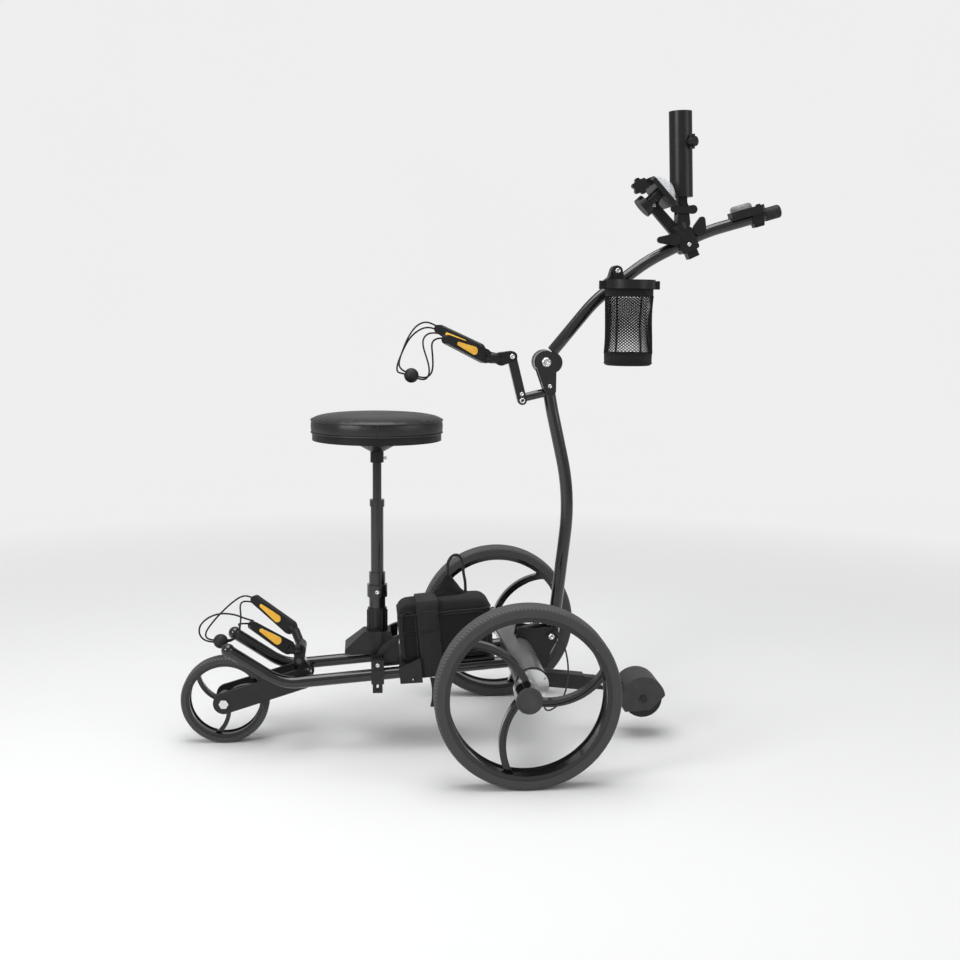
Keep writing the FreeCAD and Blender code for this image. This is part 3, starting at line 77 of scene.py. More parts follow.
# ------------------------------------------------------------------ shader expressions
class Wire:
    """A socket or a number in a node tree, with Python's arithmetic."""

    def __init__(self, tree, socket):
        self.tree = tree
        self.socket = socket

    def math(self, operation, *values):
        node = self.tree.nodes.new("ShaderNodeMath")
        node.operation = operation
        for socket, value in zip(node.inputs, (self,) + values):
            feed(self.tree, socket, value)
        return Wire(self.tree, node.outputs[0])

    def __add__(self, other):
        return self.math("ADD", other)

    __radd__ = __add__

    def __mul__(self, other):
        return self.math("MULTIPLY", other)

    __rmul__ = __mul__

    def __sub__(self, other):
        return self.math("SUBTRACT", other)

    def __rsub__(self, other):
        return (self * -1).math("ADD", other)

    def __truediv__(self, other):
        return self.math("DIVIDE", other)

    def __gt__(self, other):
        return self.math("GREATER_THAN", other)

    def sine(self):
        return self.math("SINE")


def feed(tree, socket, value):
    if isinstance(value, Wire):
        tree.links.new(value.socket, socket)
    else:
        socket.default_value = value


class Finish:
    """One material: a Principled shader and the nodes that feed it."""

    def __init__(self, name, **constants):
        self.material = bpy.data.materials.new(name)
        self.material.use_nodes = True
        self.tree = self.material.node_tree
        self.shader = self.tree.nodes["Principled BSDF"]
        for socket, value in constants.items():
            self.shader.inputs[socket.replace("_", " ")].default_value = value

    def node(self, kind, settings=None, inputs=None, output=0):
        node = self.tree.nodes.new(kind)
        for key, value in (settings or {}).items():
            if key == "stops":
                ramp = node.color_ramp
                for element, (place, colour) in zip(ramp.elements, value):
                    element.position = place
                    element.color = colour
            else:
                setattr(node, key, value)
        for key, value in (inputs or {}).items():
            feed(self.tree, node.inputs[key], value)
        return Wire(self.tree, node.outputs[output])

    def place(self):
        """Object coordinates, in metres, as a vector and its three parts."""
        vector = self.node("ShaderNodeTexCoord", output=3)
        split = self.tree.nodes.new("ShaderNodeSeparateXYZ")
        feed(self.tree, split.inputs[0], vector)
        return vector, [Wire(self.tree, s) for s in split.outputs]

    def noise(self, scale, detail=3.0, roughness=0.5, vector=None):
        vector = vector or self.place()[0]
        values = {"Vector": vector, "Scale": scale, "Detail": detail, "Roughness": roughness}
        return self.node("ShaderNodeTexNoise", inputs=values)

    def cells(self, scale, feature="DISTANCE_TO_EDGE"):
        values = {"Vector": self.place()[0], "Scale": scale}
        return self.node("ShaderNodeTexVoronoi", {"feature": feature}, values)

    def blend(self, factor, first, second):
        values = {0: factor, 6: first, 7: second}
        return self.node("ShaderNodeMix", {"data_type": "RGBA"}, values, output=2)

    def colour(self, factor, first, second):
        feed(self.tree, self.shader.inputs["Base Color"], self.blend(factor, first, second))

    def roughness(self, value):
        feed(self.tree, self.shader.inputs["Roughness"], value)

    def bump(self, height, distance, strength=1.0):
        values = {"Height": height, "Distance": distance, "Strength": strength}
        feed(self.tree, self.shader.inputs["Normal"], self.node("ShaderNodeBump", inputs=values))


def rgba(value, warm=1.0):
    return (value * warm, value, value, 1.0)


def painted(name, dark, light, rough, coat, grain):
    """Sprayed paint: a faint orange peel, worn a little lighter in patches."""
    finish = Finish(name, Coat_Weight=coat, Coat_Roughness=0.08, Specular_IOR_Level=0.3)
    patches = finish.noise(38.0, 4.0)
    finish.colour(patches, rgba(dark), rgba(light))
    finish.roughness(patches * 0.14 + (rough - 0.05))
    finish.bump(finish.noise(grain), 0.0002, 0.35)
    return finish.material


def moulded(name, dark, light, rough):
    """Moulded plastic with a fine spark-eroded grain."""
    finish = Finish(name, Specular_IOR_Level=0.28)
    finish.colour(finish.noise(60.0), rgba(dark), rgba(light))
    finish.roughness(finish.noise(25.0) * 0.15 + (rough - 0.07))
    finish.bump(finish.noise(1700.0, 2.0), 0.0002, 0.5)
    return finish.material


def metal(name, tone, rough, brush):
    """Brushed or turned metal, with the brushing stretched along the cart's width."""
    finish = Finish(name, Metallic=1.0)
    stretch = {"Vector": finish.place()[0], "Scale": (1.0, brush, 1.0)}
    vector = finish.node("ShaderNodeMapping", inputs=stretch)
    streaks = finish.noise(700.0, 3.0, vector=vector)
    finish.colour(streaks, rgba(tone * 0.82), rgba(tone))
    finish.roughness(streaks * 0.2 + (rough - 0.1))
    finish.bump(streaks, 0.0001, 0.3)
    return finish.material


def tyre_rubber(name, centre_x, centre_z, radius, notches):
    """Tread of slanted notches round the crown, and finer ribs on the side walls."""
    finish = Finish(name, Specular_IOR_Level=0.35)
    x, y, z = finish.place()[1]
    dx = x - centre_x
    dz = z - centre_z
    angle = dz.math("ARCTAN2", dx)
    reach = (dx * dx + dz * dz).math("SQRT")
    crown = reach > radius - 0.0035
    slant = (angle * float(notches) + y.math("ABSOLUTE") * 420.0).sine() > -0.25
    ribs = (reach * 2600.0).sine() * 0.12
    grain = finish.noise(420.0)
    height = crown * slant + (1 - crown) * ribs + grain * 0.15
    finish.colour(crown * slant * 0.6 + grain * 0.4, rgba(0.035), rgba(0.095))
    finish.roughness(grain * 0.2 + 0.62)
    finish.bump(height, 0.0012, 0.8)
    return finish.material


def leather(name):
    finish = Finish(name, Specular_IOR_Level=0.45)
    creases = finish.cells(520.0)
    patches = finish.noise(16.0, 5.0)
    finish.colour(patches, rgba(0.006), rgba(0.016))
    finish.roughness(patches * 0.2 + 0.24)
    finish.bump(creases.math("MINIMUM", 0.22) + finish.noise(1100.0) * 0.1, 0.0006, 0.45)
    return finish.material


def woven(name, dark, light, pitch, rough=0.85):
    """Plain weave: two sets of threads, one over the other, that wrap every face alike."""
    finish = Finish(name, Sheen_Weight=0.08, Sheen_Roughness=0.5, Specular_IOR_Level=0.15)
    x, y, z = finish.place()[1]
    thread = 2 * math.pi / pitch
    across = ((x + y) * thread).sine()
    along = ((z + y * 0.5) * thread).sine()
    weave = across * along * 0.5 + 0.5
    fuzz = finish.noise(240.0, 4.0)
    finish.colour(weave * 0.5 + fuzz * 0.5, rgba(dark), rgba(light))
    finish.roughness(fuzz * 0.12 + (rough - 0.06))
    finish.bump(weave + fuzz * 0.4, 0.0004, 0.7)
    return finish.material


def webbing(name):
    """Ribbed strap: fine ribs along the strap with a herringbone between them."""
    finish = Finish(name, Sheen_Weight=0.08, Specular_IOR_Level=0.2)
    x, y, z = finish.place()[1]
    ribs = (x * 2600.0).sine() * 0.5 + 0.5
    bone = ((z + y + x * 0.6) * 3800.0).sine() * 0.5 + 0.5
    finish.colour(ribs * 0.6 + bone * 0.4, rgba(0.008), rgba(0.026))
    finish.roughness(bone * 0.1 + 0.72)
    finish.bump(ribs + bone * 0.5, 0.0004, 0.7)
    return finish.material


def braided(name):
    finish = Finish(name, Sheen_Weight=0.06, Specular_IOR_Level=0.2)
    x, y, z = finish.place()[1]
    twist = ((x + y * 1.3 + z) * 3000.0).sine() * ((x - y * 1.3 - z) * 3000.0).sine()
    finish.colour(twist * 0.5 + 0.5, rgba(0.006), rgba(0.016))
    finish.roughness(twist * 0.05 + 0.7)
    finish.bump(twist, 0.0003, 0.6)
    return finish.material


def soft_rubber(name, dark=0.008, light=0.020, rough=0.55):
    finish = Finish(name, Specular_IOR_Level=0.3)
    haze = finish.noise(90.0, 4.0)
    finish.colour(haze, rgba(dark), rgba(light))
    finish.roughness(haze * 0.16 + (rough - 0.08))
    finish.bump(finish.noise(900.0), 0.0002, 0.4)
    return finish.material


def inlay(name, settings):
    """Yellow plastic with bands and patches that turn to orange."""
    finish = Finish(name)
    x, y, z = finish.place()[1]
    shade = (z * 61.0).math("FRACT") * 0.35 + finish.noise(45.0) * 0.5
    finish.colour(shade, (*settings.inlay_light, 1.0), (*settings.inlay_dark, 1.0))
    finish.roughness(finish.noise(300.0) * 0.1 + 0.36)
    finish.bump(finish.noise(1500.0), 0.0001, 0.3)
    return finish.material


def clear_plastic(name):
    finish = Finish(name, IOR=1.49)
    haze = finish.noise(30.0)
    finish.colour(haze, (0.78, 0.80, 0.82, 1.0), (0.9, 0.92, 0.93, 1.0))
    finish.roughness(haze * 0.06 + 0.05)
    feed(finish.tree, finish.shader.inputs["Alpha"], haze * 0.1 + 0.32)
    return finish.material


# ------------------------------------------------------------------ mesh helpers
def add_piece(name, mesh, material, body, smooth=True):
    """Links a mesh as a piece that moves with a body and takes one of the record's finishes."""
    piece = bpy.data.objects.new(name, mesh)
    bpy.context.scene.collection.objects.link(piece)
    mesh.materials.append(material)
    if smooth:
        mesh.shade_smooth()
    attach(piece, body)
    return piece


def mesh_of(name, build):
    bm = bmesh.new()
    build(bm)
    bmesh.ops.recalc_face_normals(bm, faces=bm.faces)
    mesh = bpy.data.meshes.new(name)
    bm.to_mesh(mesh)
    bm.free()
    return mesh


def lathe(bm, profile, centre, axis=Vector((0, 0, 1)), steps=96, ripple=None):
    """Turns (radius, height) points about an axis; points at radius 0 close the surface."""
    turn = Vector((0, 0, 1)).rotation_difference(axis).to_matrix()
    rings = []
    for radius, height in profile:
        if radius <= 1e-9:
            rings.append([bm.verts.new(centre + turn @ Vector((0, 0, height)))])
            continue
        ring = []
        for k in range(steps):
            a = 2 * math.pi * k / steps
            lift = ripple(radius, height, a) if ripple else (0, 0)
            r = radius + lift[0]
            point = Vector((r * math.cos(a), r * math.sin(a), height + lift[1]))
            ring.append(bm.verts.new(centre + turn @ point))
        rings.append(ring)
    for low, high in zip(rings, rings[1:]):
        for k in range(steps):
            j = (k + 1) % steps
            if len(low) == 1:
                bm.faces.new((low[0], high[j], high[k]))
            elif len(high) == 1:
                bm.faces.new((low[k], low[j], high[0]))
            else:
                bm.faces.new((low[k], low[j], high[j], high[k]))


def arc(centre_r, centre_h, radius, start, end, count):
    """Points of a lathe profile round a fillet, angles in degrees."""
    angles = [math.radians(start + (end - start) * k / (count - 1)) for k in range(count)]
    return [(centre_r + radius * math.cos(a), centre_h + radius * math.sin(a)) for a in angles]


def tube(bm, points, radius, sides=8, closed=False):
    """A round bar through a list of points."""
    count = len(points)
    rings = []
    side = None
    for k, point in enumerate(points):
        before = points[k - 1] if k or closed else point
        after = points[(k + 1) % count] if k < count - 1 or closed else point
        heading = (after - before).normalized()
        if side is None:
            side = heading.orthogonal().normalized()
        side = (side - heading * side.dot(heading)).normalized()
        other = heading.cross(side)
        turns = [2 * math.pi * s / sides for s in range(sides)]
        spokes = [side * math.cos(a) + other * math.sin(a) for a in turns]
        rings.append([bm.verts.new(point + spoke * radius) for spoke in spokes])
    pairs = list(zip(rings, rings[1:])) + ([(rings[-1], rings[0])] if closed else [])
    for low, high in pairs:
        for s in range(sides):
            t = (s + 1) % sides
            bm.faces.new((low[s], low[t], high[t], high[s]))
    if not closed:
        bm.faces.new(rings[0])
        bm.faces.new(rings[-1])


def bolt_head(bm, centre, axis, radius, height):
    """A domed head with a round socket."""
    top = height
    dome = arc(radius * 0.55, top * 0.45, radius * 0.45, 0, 80, 5)
    socket = [(radius * 0.45, top * 0.9), (radius * 0.42, top * 0.45), (0, top * 0.45)]
    lathe(bm, [(0, 0), (radius, 0), (radius, top * 0.45)] + dome + socket, centre, axis, steps=24)


# ------------------------------------------------------------------ settings
class CART_PG_finish(bpy.types.PropertyGroup):
    inlay_light: FloatVectorProperty(
        name="Inlay Light", description="Paler tone of the arm inlays", subtype="COLOR",
        default=(0.90, 0.56, 0.055))
    inlay_dark: FloatVectorProperty(
        name="Inlay Dark", description="Deeper tone of the arm inlays", subtype="COLOR",
        default=(0.86, 0.36, 0.03))
    tread_notches: IntProperty(
        name="Tread Notches", description="Notches round a rear tyre", default=150, min=20, max=400)


class CART_PG_soft(bpy.types.PropertyGroup):
    crown: FloatProperty(
        name="Seat Crown", description="Rise of the seat's middle above its edge", default=0.007,
        min=0.0, max=0.03, unit="LENGTH")
    piping: FloatProperty(
        name="Piping Radius", description="Radius of the seams' piping", default=0.0016,
        min=0.0005, max=0.004, unit="LENGTH")
    net_columns: IntProperty(
        name="Net Columns", description="Diamonds round the cup basket", default=40, min=12, max=96)
    net_strand: FloatProperty(
        name="Net Strand", description="Thickness of the basket's net", default=0.0021,
        min=0.0004, max=0.003, unit="LENGTH")


class CART_PG_stage(bpy.types.PropertyGroup):
    floor_tone: FloatProperty(
        name="Floor Tone", description="Brightness of the floor's paper", default=0.73, min=0.0, max=0.99)
    far_tone: FloatProperty(
        name="Far Tone", description="Brightness that the backdrop fades to", default=0.85, min=0.0, max=0.98)
    fade_start: FloatProperty(
        name="Fade Start", description="Distance at which the lit floor starts to fade into the backdrop",
        default=0.8, min=0.0, unit="LENGTH")
    fade_width: FloatProperty(
        name="Fade Width", description="Distance over which it fades", default=2.0, min=0.1, unit="LENGTH")
    lamp_power: FloatProperty(
        name="Lamp Power", description="Power of the overhead softbox", default=120.0, min=0.0, unit="POWER")


# ------------------------------------------------------------------ finishes
MATERIALS = {}


class CART_OT_finishes(bpy.types.Operator):
    """Gives every rigid part its finish"""

    bl_idname = "cart.finishes"
    bl_label = "Finish Rigid Parts"

    def execute(self, context):
        settings = context.scene.cart_finish
        front_low, front_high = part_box("front_tyre")
        front = (front_low + front_high) / 2
        front_r = (front_high.z - front_low.z) / 2
        MATERIALS.update({
            "frame_paint": painted("Gloss Frame Paint", 0.004, 0.009, 0.14, 0.8, 260.0),
            "bracket_paint": painted("Satin Bracket Paint", 0.008, 0.018, 0.40, 0.1, 800.0),
            "motor_paint": painted("Motor Housing Coat", 0.075, 0.12, 0.28, 0.4, 500.0),
            "gearbox_metal": metal("Turned Alloy", 0.88, 0.34, 0.2),
            "steel": metal("Bright Steel", 0.78, 0.26, 0.3),
            "rear_tyre": tyre_rubber("Rear Tyre Rubber", AXLE_X, WHEEL_R, WHEEL_R, settings.tread_notches),
            "front_tyre": tyre_rubber("Front Tyre Rubber", front.x, front.z, front_r,
                                      settings.tread_notches // 2),
            "rim_plastic": painted("Gloss Rim Moulding", 0.004, 0.008, 0.16, 0.5, 400.0),
            "hub_plastic": moulded("Hub Cap Plastic", 0.030, 0.055, 0.45),
            "black_plastic": moulded("Black Moulding", 0.006, 0.014, 0.32),
            "inlay_yellow": inlay("Inlay Plastic", settings),
            "seat_leather": leather("Seat Leather"),
            "bag_fabric": woven("Bag Cloth", 0.004, 0.014, 0.0013),
            "strap_web": webbing("Strap Webbing"),
            "mesh_fabric": woven("Basket Net", 0.004, 0.014, 0.0009),
            "elastic_cord": braided("Elastic Braid"),
            "soft_rubber": soft_rubber("Soft Rubber"),
            "cable_sheath": soft_rubber("Cable Sheath", 0.008, 0.018, 0.45),
            "dial_grey": moulded("Dial Plastic", 0.17, 0.24, 0.32),
            "clear_plastic": clear_plastic("Clear Cover"),
            "battery_case": moulded("Battery Case", 0.03, 0.05, 0.5),
        })
        slots = {part["node"]: part["material_slot"] for part in frame["record"]["subparts"]}
        special = {"tyre_left": "rear_tyre", "tyre_right": "rear_tyre", "front_tyre": "front_tyre"}
        for name, node in frame["nodes"].items():
            finish = MATERIALS[special.get(name, slots[name])]
            node.data.materials.clear()
            node.data.materials.append(finish)
        return {"FINISHED"}


# ------------------------------------------------------------------ seat
class CART_OT_seat(bpy.types.Operator):
    """Leather seat: crowned top, piped edge, side band with its seam"""

    bl_idname = "cart.seat"
    bl_label = "Make Seat Cushion"

    def execute(self, context):
        soft = context.scene.cart_soft
        low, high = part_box("seat_cushion")
        centre = Vector(((low.x + high.x) / 2, 0, 0))
        radius = (high.x - low.x) / 2
        seam_z = high.z - 0.006

        def pucker(r, h, a):
            """Small folds that run in from the piping and fade towards the middle."""
            edge = max(0.0, (r - radius * 0.72) / (radius * 0.28)) if h > seam_z - 0.001 else 0.35
            wave = math.sin(a * 37) * 0.5 + math.sin(a * 23 + 1.7) * 0.3 + math.sin(a * 61 + 0.4) * 0.2
            return (wave * edge * 0.0002, wave * edge * 0.0005)

        edge_r = radius - 0.0016
        spread = [1 - (1 - k / 22) ** 2 for k in range(23)]
        top = [(edge_r * t, seam_z + soft.crown * 1.6 * (1 - t ** 5) ** 0.6) for t in spread[:0:-1]]
        side = [(edge_r, seam_z), (radius - 0.0002, seam_z - 0.006), (radius, seam_z - 0.012),
                (radius - 0.0004, low.z + 0.006), (edge_r, low.z + 0.002), (edge_r - 0.004, low.z),
                (0, low.z)]
        profile = [(0, seam_z + soft.crown * 1.6)] + top[::-1][:-1] + side

        mesh = mesh_of("seat_leather_cover", lambda bm: lathe(bm, profile, centre, steps=180, ripple=pucker))
        cushion = add_piece("seat_leather_cover", mesh, MATERIALS["seat_leather"], "seat")
        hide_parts("seat_cushion")

        def piping(bm):
            for z, r in ((seam_z, radius - 0.0010), (low.z + 0.0015, radius - 0.0012)):
                loop = [centre + Vector((r * math.cos(a), r * math.sin(a), z))
                        for a in [2 * math.pi * k / 180 for k in range(180)]]
                tube(bm, loop, soft.piping, closed=True)
            front = centre + Vector((0, -radius - 0.0001, 0))
            levels = (low.z + 0.003, (low.z + seam_z) / 2, seam_z)
            tube(bm, [front + Vector((0, 0, z)) for z in levels], 0.0007)

        mesh = mesh_of("seat_piping", piping)
        add_piece("seat_piping", mesh, MATERIALS["seat_leather"], "seat")
        return {"FINISHED"}


# ------------------------------------------------------------------ battery bag
RAIL_X, RAIL_Z = -380.0, 131.0
RAIL_RISE = math.radians(4.95)
BAG_START, BAG_END = 176.0, 346.0
BAG_LOW, BAG_HIGH = 14.6, 126.6
BAG_HALF = 76.0
BAG_SAG = 18.0
END_PANEL = (181.0, 207.0)
STRAP_START, STRAP_END = 210.0, 250.0
STRAP_LOW = -11.6
STRAP_T = 2.4


def on_rail(u, y, v):
    """u along the sloping rails, v above their axis, both in millimetres."""
    v -= BAG_SAG * max(0.0, (y + BAG_HALF) / (2 * BAG_HALF)) ** 2.5 * max(0.0, min(1.0, v / BAG_HIGH)) ** 2
    x = RAIL_X + u * math.cos(RAIL_RISE) - v * math.sin(RAIL_RISE)
    z = RAIL_Z + u * math.sin(RAIL_RISE) + v * math.cos(RAIL_RISE)
    return at(x, y, z)


def pillow(bm, low, high, corner, bulge, place, cuts=22):
    """A soft box: rounded corners and sides that swell between them."""
    size = [(h - l) / 2 for l, h in zip(low, high)]
    middle = [(h + l) / 2 for l, h in zip(low, high)]
    made = {}

    def vertex(cell):
        if cell not in made:
            unit = [2 * c / cuts - 1 for c in cell]
            flat = [u * s for u, s in zip(unit, size)]
            core = [max(-s + corner, min(s - corner, f)) for f, s in zip(flat, size)]
            away = Vector([f - c for f, c in zip(flat, core)])
            point = Vector(core) + away.normalized() * corner if away.length > 1e-9 else Vector(core)
            for axis in range(3):
                others = [unit[k] for k in range(3) if k != axis]
                swell = (1 - others[0] ** 2) * (1 - others[1] ** 2)
                if abs(unit[axis]) > 0.999:
                    point[axis] += math.copysign(bulge[axis] * swell, unit[axis])
            folds = math.sin(point[0] * 0.11 + point[2] * 0.05) * math.sin(point[2] * 0.09 + point[1] * 0.04)
            point += Vector((0, 0.5, 0.3)) * folds * (1 if unit[1] > 0 else -1)
            made[cell] = bm.verts.new(place(*[p + m for p, m in zip(point, middle)]))
        return made[cell]

    for axis in range(3):
        first, second = [k for k in range(3) if k != axis]
        for level in (0, cuts):
            for i in range(cuts):
                for j in range(cuts):
                    corners = []
                    for di, dj in ((0, 0), (1, 0), (1, 1), (0, 1)):
                        cell = [0, 0, 0]
                        cell[axis] = level
                        cell[first] = i + di
                        cell[second] = j + dj
                        corners.append(vertex(tuple(cell)))
                    bm.faces.new(corners)


class CART_OT_battery_bag(bpy.types.Operator):
    """Padded battery bag with its lid, piping, stitched panel and cable boot"""

    bl_idname = "cart.battery_bag"
    bl_label = "Make Battery Bag"

    def execute(self, context):
        soft = context.scene.cart_soft
        pipe = soft.piping

        def body(bm):
            pillow(bm, (BAG_START + 1, -BAG_HALF + 1, BAG_LOW + 0.4),
                   (BAG_END - 1, BAG_HALF - 1, BAG_HIGH - 3),
                   19, (3, 2.2, 2.5), on_rail)

        def battery(bm):
            """The battery's case, close inside the cloth."""
            pillow(bm, (BAG_START + 8, -BAG_HALF + 8, BAG_LOW + 5),
                   (BAG_END - 8, BAG_HALF - 8, BAG_HIGH - 13),
                   12, (0, 0, 0), on_rail, 10)

        def boot(bm):
            """A soft sleeve that narrows to the cable."""
            base = on_rail(BAG_START + 97, 0, BAG_HIGH)
            rings = []
            for k in range(17):
                t = k / 16
                half_x = 0.029 * (1 - t) ** 1.15 + 0.006
                half_y = 0.021 * (1 - t) ** 1.15 + 0.006
                centre = base + Vector((0.002 * (1 - t), 0, -0.004 + 0.039 * t))
                ring = []
                for s in range(32):
                    a = 2 * math.pi * s / 32
                    fold = 0.6 * math.sin(a * 3 + t * 11) + 0.4 * math.sin(a * 7 - t * 17 + 1.0)
                    wrinkle = 1 + 0.11 * fold * math.sin(math.pi * min(1, t + 0.25))
                    square = (abs(math.cos(a)) ** 3 + abs(math.sin(a)) ** 3) ** (-1 / 3 * (1 - t))
                    ring.append(bm.verts.new(centre + Vector((half_x * math.cos(a), half_y * math.sin(a), 0))
                                             * square * wrinkle))
                rings.append(ring)
            for low, high in zip(rings, rings[1:]):
                for s in range(32):
                    r = (s + 1) % 32
                    bm.faces.new((low[s], low[r], high[r], high[s]))
            bm.faces.new(rings[0])
            bm.faces.new(rings[-1])

        def seams(bm):
            """Piping round the lid and the side panels, and the panel on the bag's left side."""
            lid = BAG_HIGH - 20
            bend = 19
            middle_u = (BAG_START + BAG_END) / 2
            loop = []
            for su, sy, first in ((1, 1, 0), (-1, 1, 90), (-1, -1, 180), (1, -1, 270)):
                cu = middle_u + su * (BAG_END - middle_u - bend)
                for k in range(9):
                    turn = math.radians(first + 90 * k / 8)
                    loop.append(on_rail(cu + bend * math.cos(turn),
                                        sy * (BAG_HALF - bend) + bend * math.sin(turn), lid))
            tube(bm, loop, pipe, closed=True)
            for side in (-1, 1):
                y = side * (BAG_HALF + 0.4)
                middle = (END_PANEL[0] + END_PANEL[1]) / 2
                half = (END_PANEL[1] - END_PANEL[0]) / 2
                foot, top = BAG_LOW + 12, BAG_HIGH - 14
                arch = [on_rail(END_PANEL[0], y, foot), on_rail(END_PANEL[0], y, (foot + top) / 2)]
                arch += [on_rail(middle - half * math.cos(t), y, top - half + half * math.sin(t))
                         for t in [math.pi * k / 12 for k in range(13)]]
                arch += [on_rail(END_PANEL[1], y, (foot + top) / 2), on_rail(END_PANEL[1], y, foot)]
                tube(bm, arch, pipe * 0.8)
                for v in (BAG_LOW + 58, BAG_LOW + 62):
                    tube(bm, [on_rail(END_PANEL[0], y, v), on_rail(middle, y + side * 0.6, v),
                              on_rail(END_PANEL[1], y, v)], pipe * 0.35)
                panel = [on_rail(u, y + side * 0.8, BAG_HIGH - 24) for u in (256, 280, 304, 322)]
                panel += [on_rail(322 + 12 * math.sin(t), y, BAG_HIGH - 36 + 12 * math.cos(t))
                          for t in [math.pi * k / 12 for k in range(1, 7)]]
                panel += [on_rail(334, y, v) for v in (BAG_LOW + 50, BAG_LOW + 30, BAG_LOW + 14)]
                tube(bm, panel, pipe * 0.7)
                tube(bm, [on_rail(256, y, BAG_LOW + 14), on_rail(295, y + side * 0.8, BAG_LOW + 14),
                          on_rail(334, y, BAG_LOW + 14)], pipe * 0.6)

        def stitches(bm):
            """Short thread runs beside the lid's seam."""
            for side in (-1, 1):
                for k in range(34):
                    u = BAG_START + 12 + k * 4.4
                    if STRAP_START - 6 < u < STRAP_END + 4:
                        continue
                    start = on_rail(u, side * (BAG_HALF + 0.5), BAG_HIGH - 12)
                    tube(bm, [start, on_rail(u + 2.6, side * (BAG_HALF + 0.5), BAG_HIGH - 12)], 0.0004, 5)

        layers = (
            ("battery_bag_body", body, "bag_fabric"),
            ("battery_bag_boot", boot, "bag_fabric"),
            ("battery_bag_seams", seams, "strap_web"),
            ("battery_bag_stitches", stitches, "strap_web"),
        )
        for name, build, slot in layers:
            add_piece(name, mesh_of(name, build), MATERIALS[slot], "frame")
        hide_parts("battery_bag")
        case = add_piece("battery_case", mesh_of("battery_case", battery), MATERIALS["battery_case"],
                         "frame")
        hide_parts("battery")
        return {"FINISHED"}


class CART_OT_strap(bpy.types.Operator):
    """Webbing round the battery bag, with its stitched patch and loose tail"""

    bl_idname = "cart.strap"
    bl_label = "Make Battery Strap"

    def execute(self, context):
        reach = BAG_HALF + 0.5 + STRAP_T / 2
        top = BAG_HIGH + 0.5 + STRAP_T / 2
        low = STRAP_LOW - STRAP_T / 2
        bend = 9

        def path():
            """The loop's middle line across the cart: (y, v, outward direction)."""
            corners = ((-1, 1, 90), (1, 1, 0), (1, -1, -90), (-1, -1, -180))
            points = []
            for side_y, side_v, first in corners:
                cy = side_y * (reach - bend)
                cv = top - bend if side_v > 0 else low + bend
                turns = [math.radians(first + 90 - 90 * k / 6) for k in range(7)]
                points += [(cy + bend * math.cos(a), cv + bend * math.sin(a), a) for a in turns]
            full = []
            for (y, v, a), (ny, nv, na) in zip(points, points[1:] + points[:1]):
                steps = max(1, round(math.hypot(ny - y, nv - v) / 8))
                full += [(y + (ny - y) * k / steps, v + (nv - v) * k / steps, a) for k in range(steps)]
            return full

        def ribbon(bm):
            edge = STRAP_T / 2
            outline = [(STRAP_START + 1, -edge), (STRAP_END - 1, -edge), (STRAP_END, -edge * 0.4),
                       (STRAP_END, edge * 0.4), (STRAP_END - 1, edge), (STRAP_START + 1, edge),
                       (STRAP_START, edge * 0.4), (STRAP_START, -edge * 0.4)]
            rings = []
            for k, (y, v, a) in enumerate(path()):
                sway = 0.5 * math.sin(k * 0.35)
                rings.append([bm.verts.new(on_rail(u + sway, y + t * math.cos(a), v + t * math.sin(a)))
                              for u, t in outline])
            for here, after in zip(rings, rings[1:] + rings[:1]):
                for k in range(len(outline)):
                    j = (k + 1) % len(outline)
                    bm.faces.new((here[k], here[j], after[j], after[k]))

        def patch(bm):
            """Two layers sewn on the left side, with a crossed box of thread."""
            y = -(reach + STRAP_T * 0.5)
            v0, v1 = BAG_HIGH - 52, BAG_HIGH - 14
            u0, u1 = STRAP_START + 3, STRAP_END - 3
            pillow(bm, (u0, y - 1.6, v0), (u1, y + 0.4, v1), 0.9, (0, 0.5, 0), on_rail, 10)
            y -= 2.0
            inset = 3
            box = [(u0 + inset, v0 + inset), (u1 - inset, v0 + inset), (u1 - inset, v1 - inset),
                   (u0 + inset, v1 - inset)]
            runs = list(zip(box, box[1:] + box[:1])) + [(box[0], box[2]), (box[1], box[3])]
            for (ua, va), (ub, vb) in runs:
                count = round(math.hypot(ub - ua, vb - va) / 4)
                for k in range(count):
                    s, t = k / count, (k + 0.6) / count
                    tube(bm, [on_rail(ua + (ub - ua) * s, y, va + (vb - va) * s),
                              on_rail(ua + (ub - ua) * t, y, va + (vb - va) * t)], 0.0004, 5)

        def tail(bm):
            """The loose end: hangs edge-on, with a slow curl."""
            start = on_rail(STRAP_START + 20, -reach, low)
            rings = []
            for k in range(15):
                t = k / 14
                centre = start + Vector((0.0035 * math.sin(3 * t), 0, -0.055 * t))
                turn = 0.35 * math.sin(2.4 * t)
                wide = Vector((math.cos(turn), math.sin(turn) * 0.3, 0)) * 0.0058
                thick = Vector((0, 0.0011, 0))
                rings.append([bm.verts.new(centre + wide * a + thick * b)
                              for a, b in ((-1, -1), (1, -1), (1, 1), (-1, 1))])
            for here, after in zip(rings, rings[1:]):
                for k in range(4):
                    bm.faces.new((here[k], here[(k + 1) % 4], after[(k + 1) % 4], after[k]))
            bm.faces.new(rings[0])
            bm.faces.new(rings[-1])

        webbing_finish = MATERIALS["strap_web"]
        strap = add_piece("strap_loop", mesh_of("strap_loop", ribbon), webbing_finish, "frame")
        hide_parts("battery_strap")
        add_piece("strap_patch", mesh_of("strap_patch", patch), webbing_finish, "frame")
        add_piece("strap_tail", mesh_of("strap_tail", tail), webbing_finish, "frame")
        return {"FINISHED"}


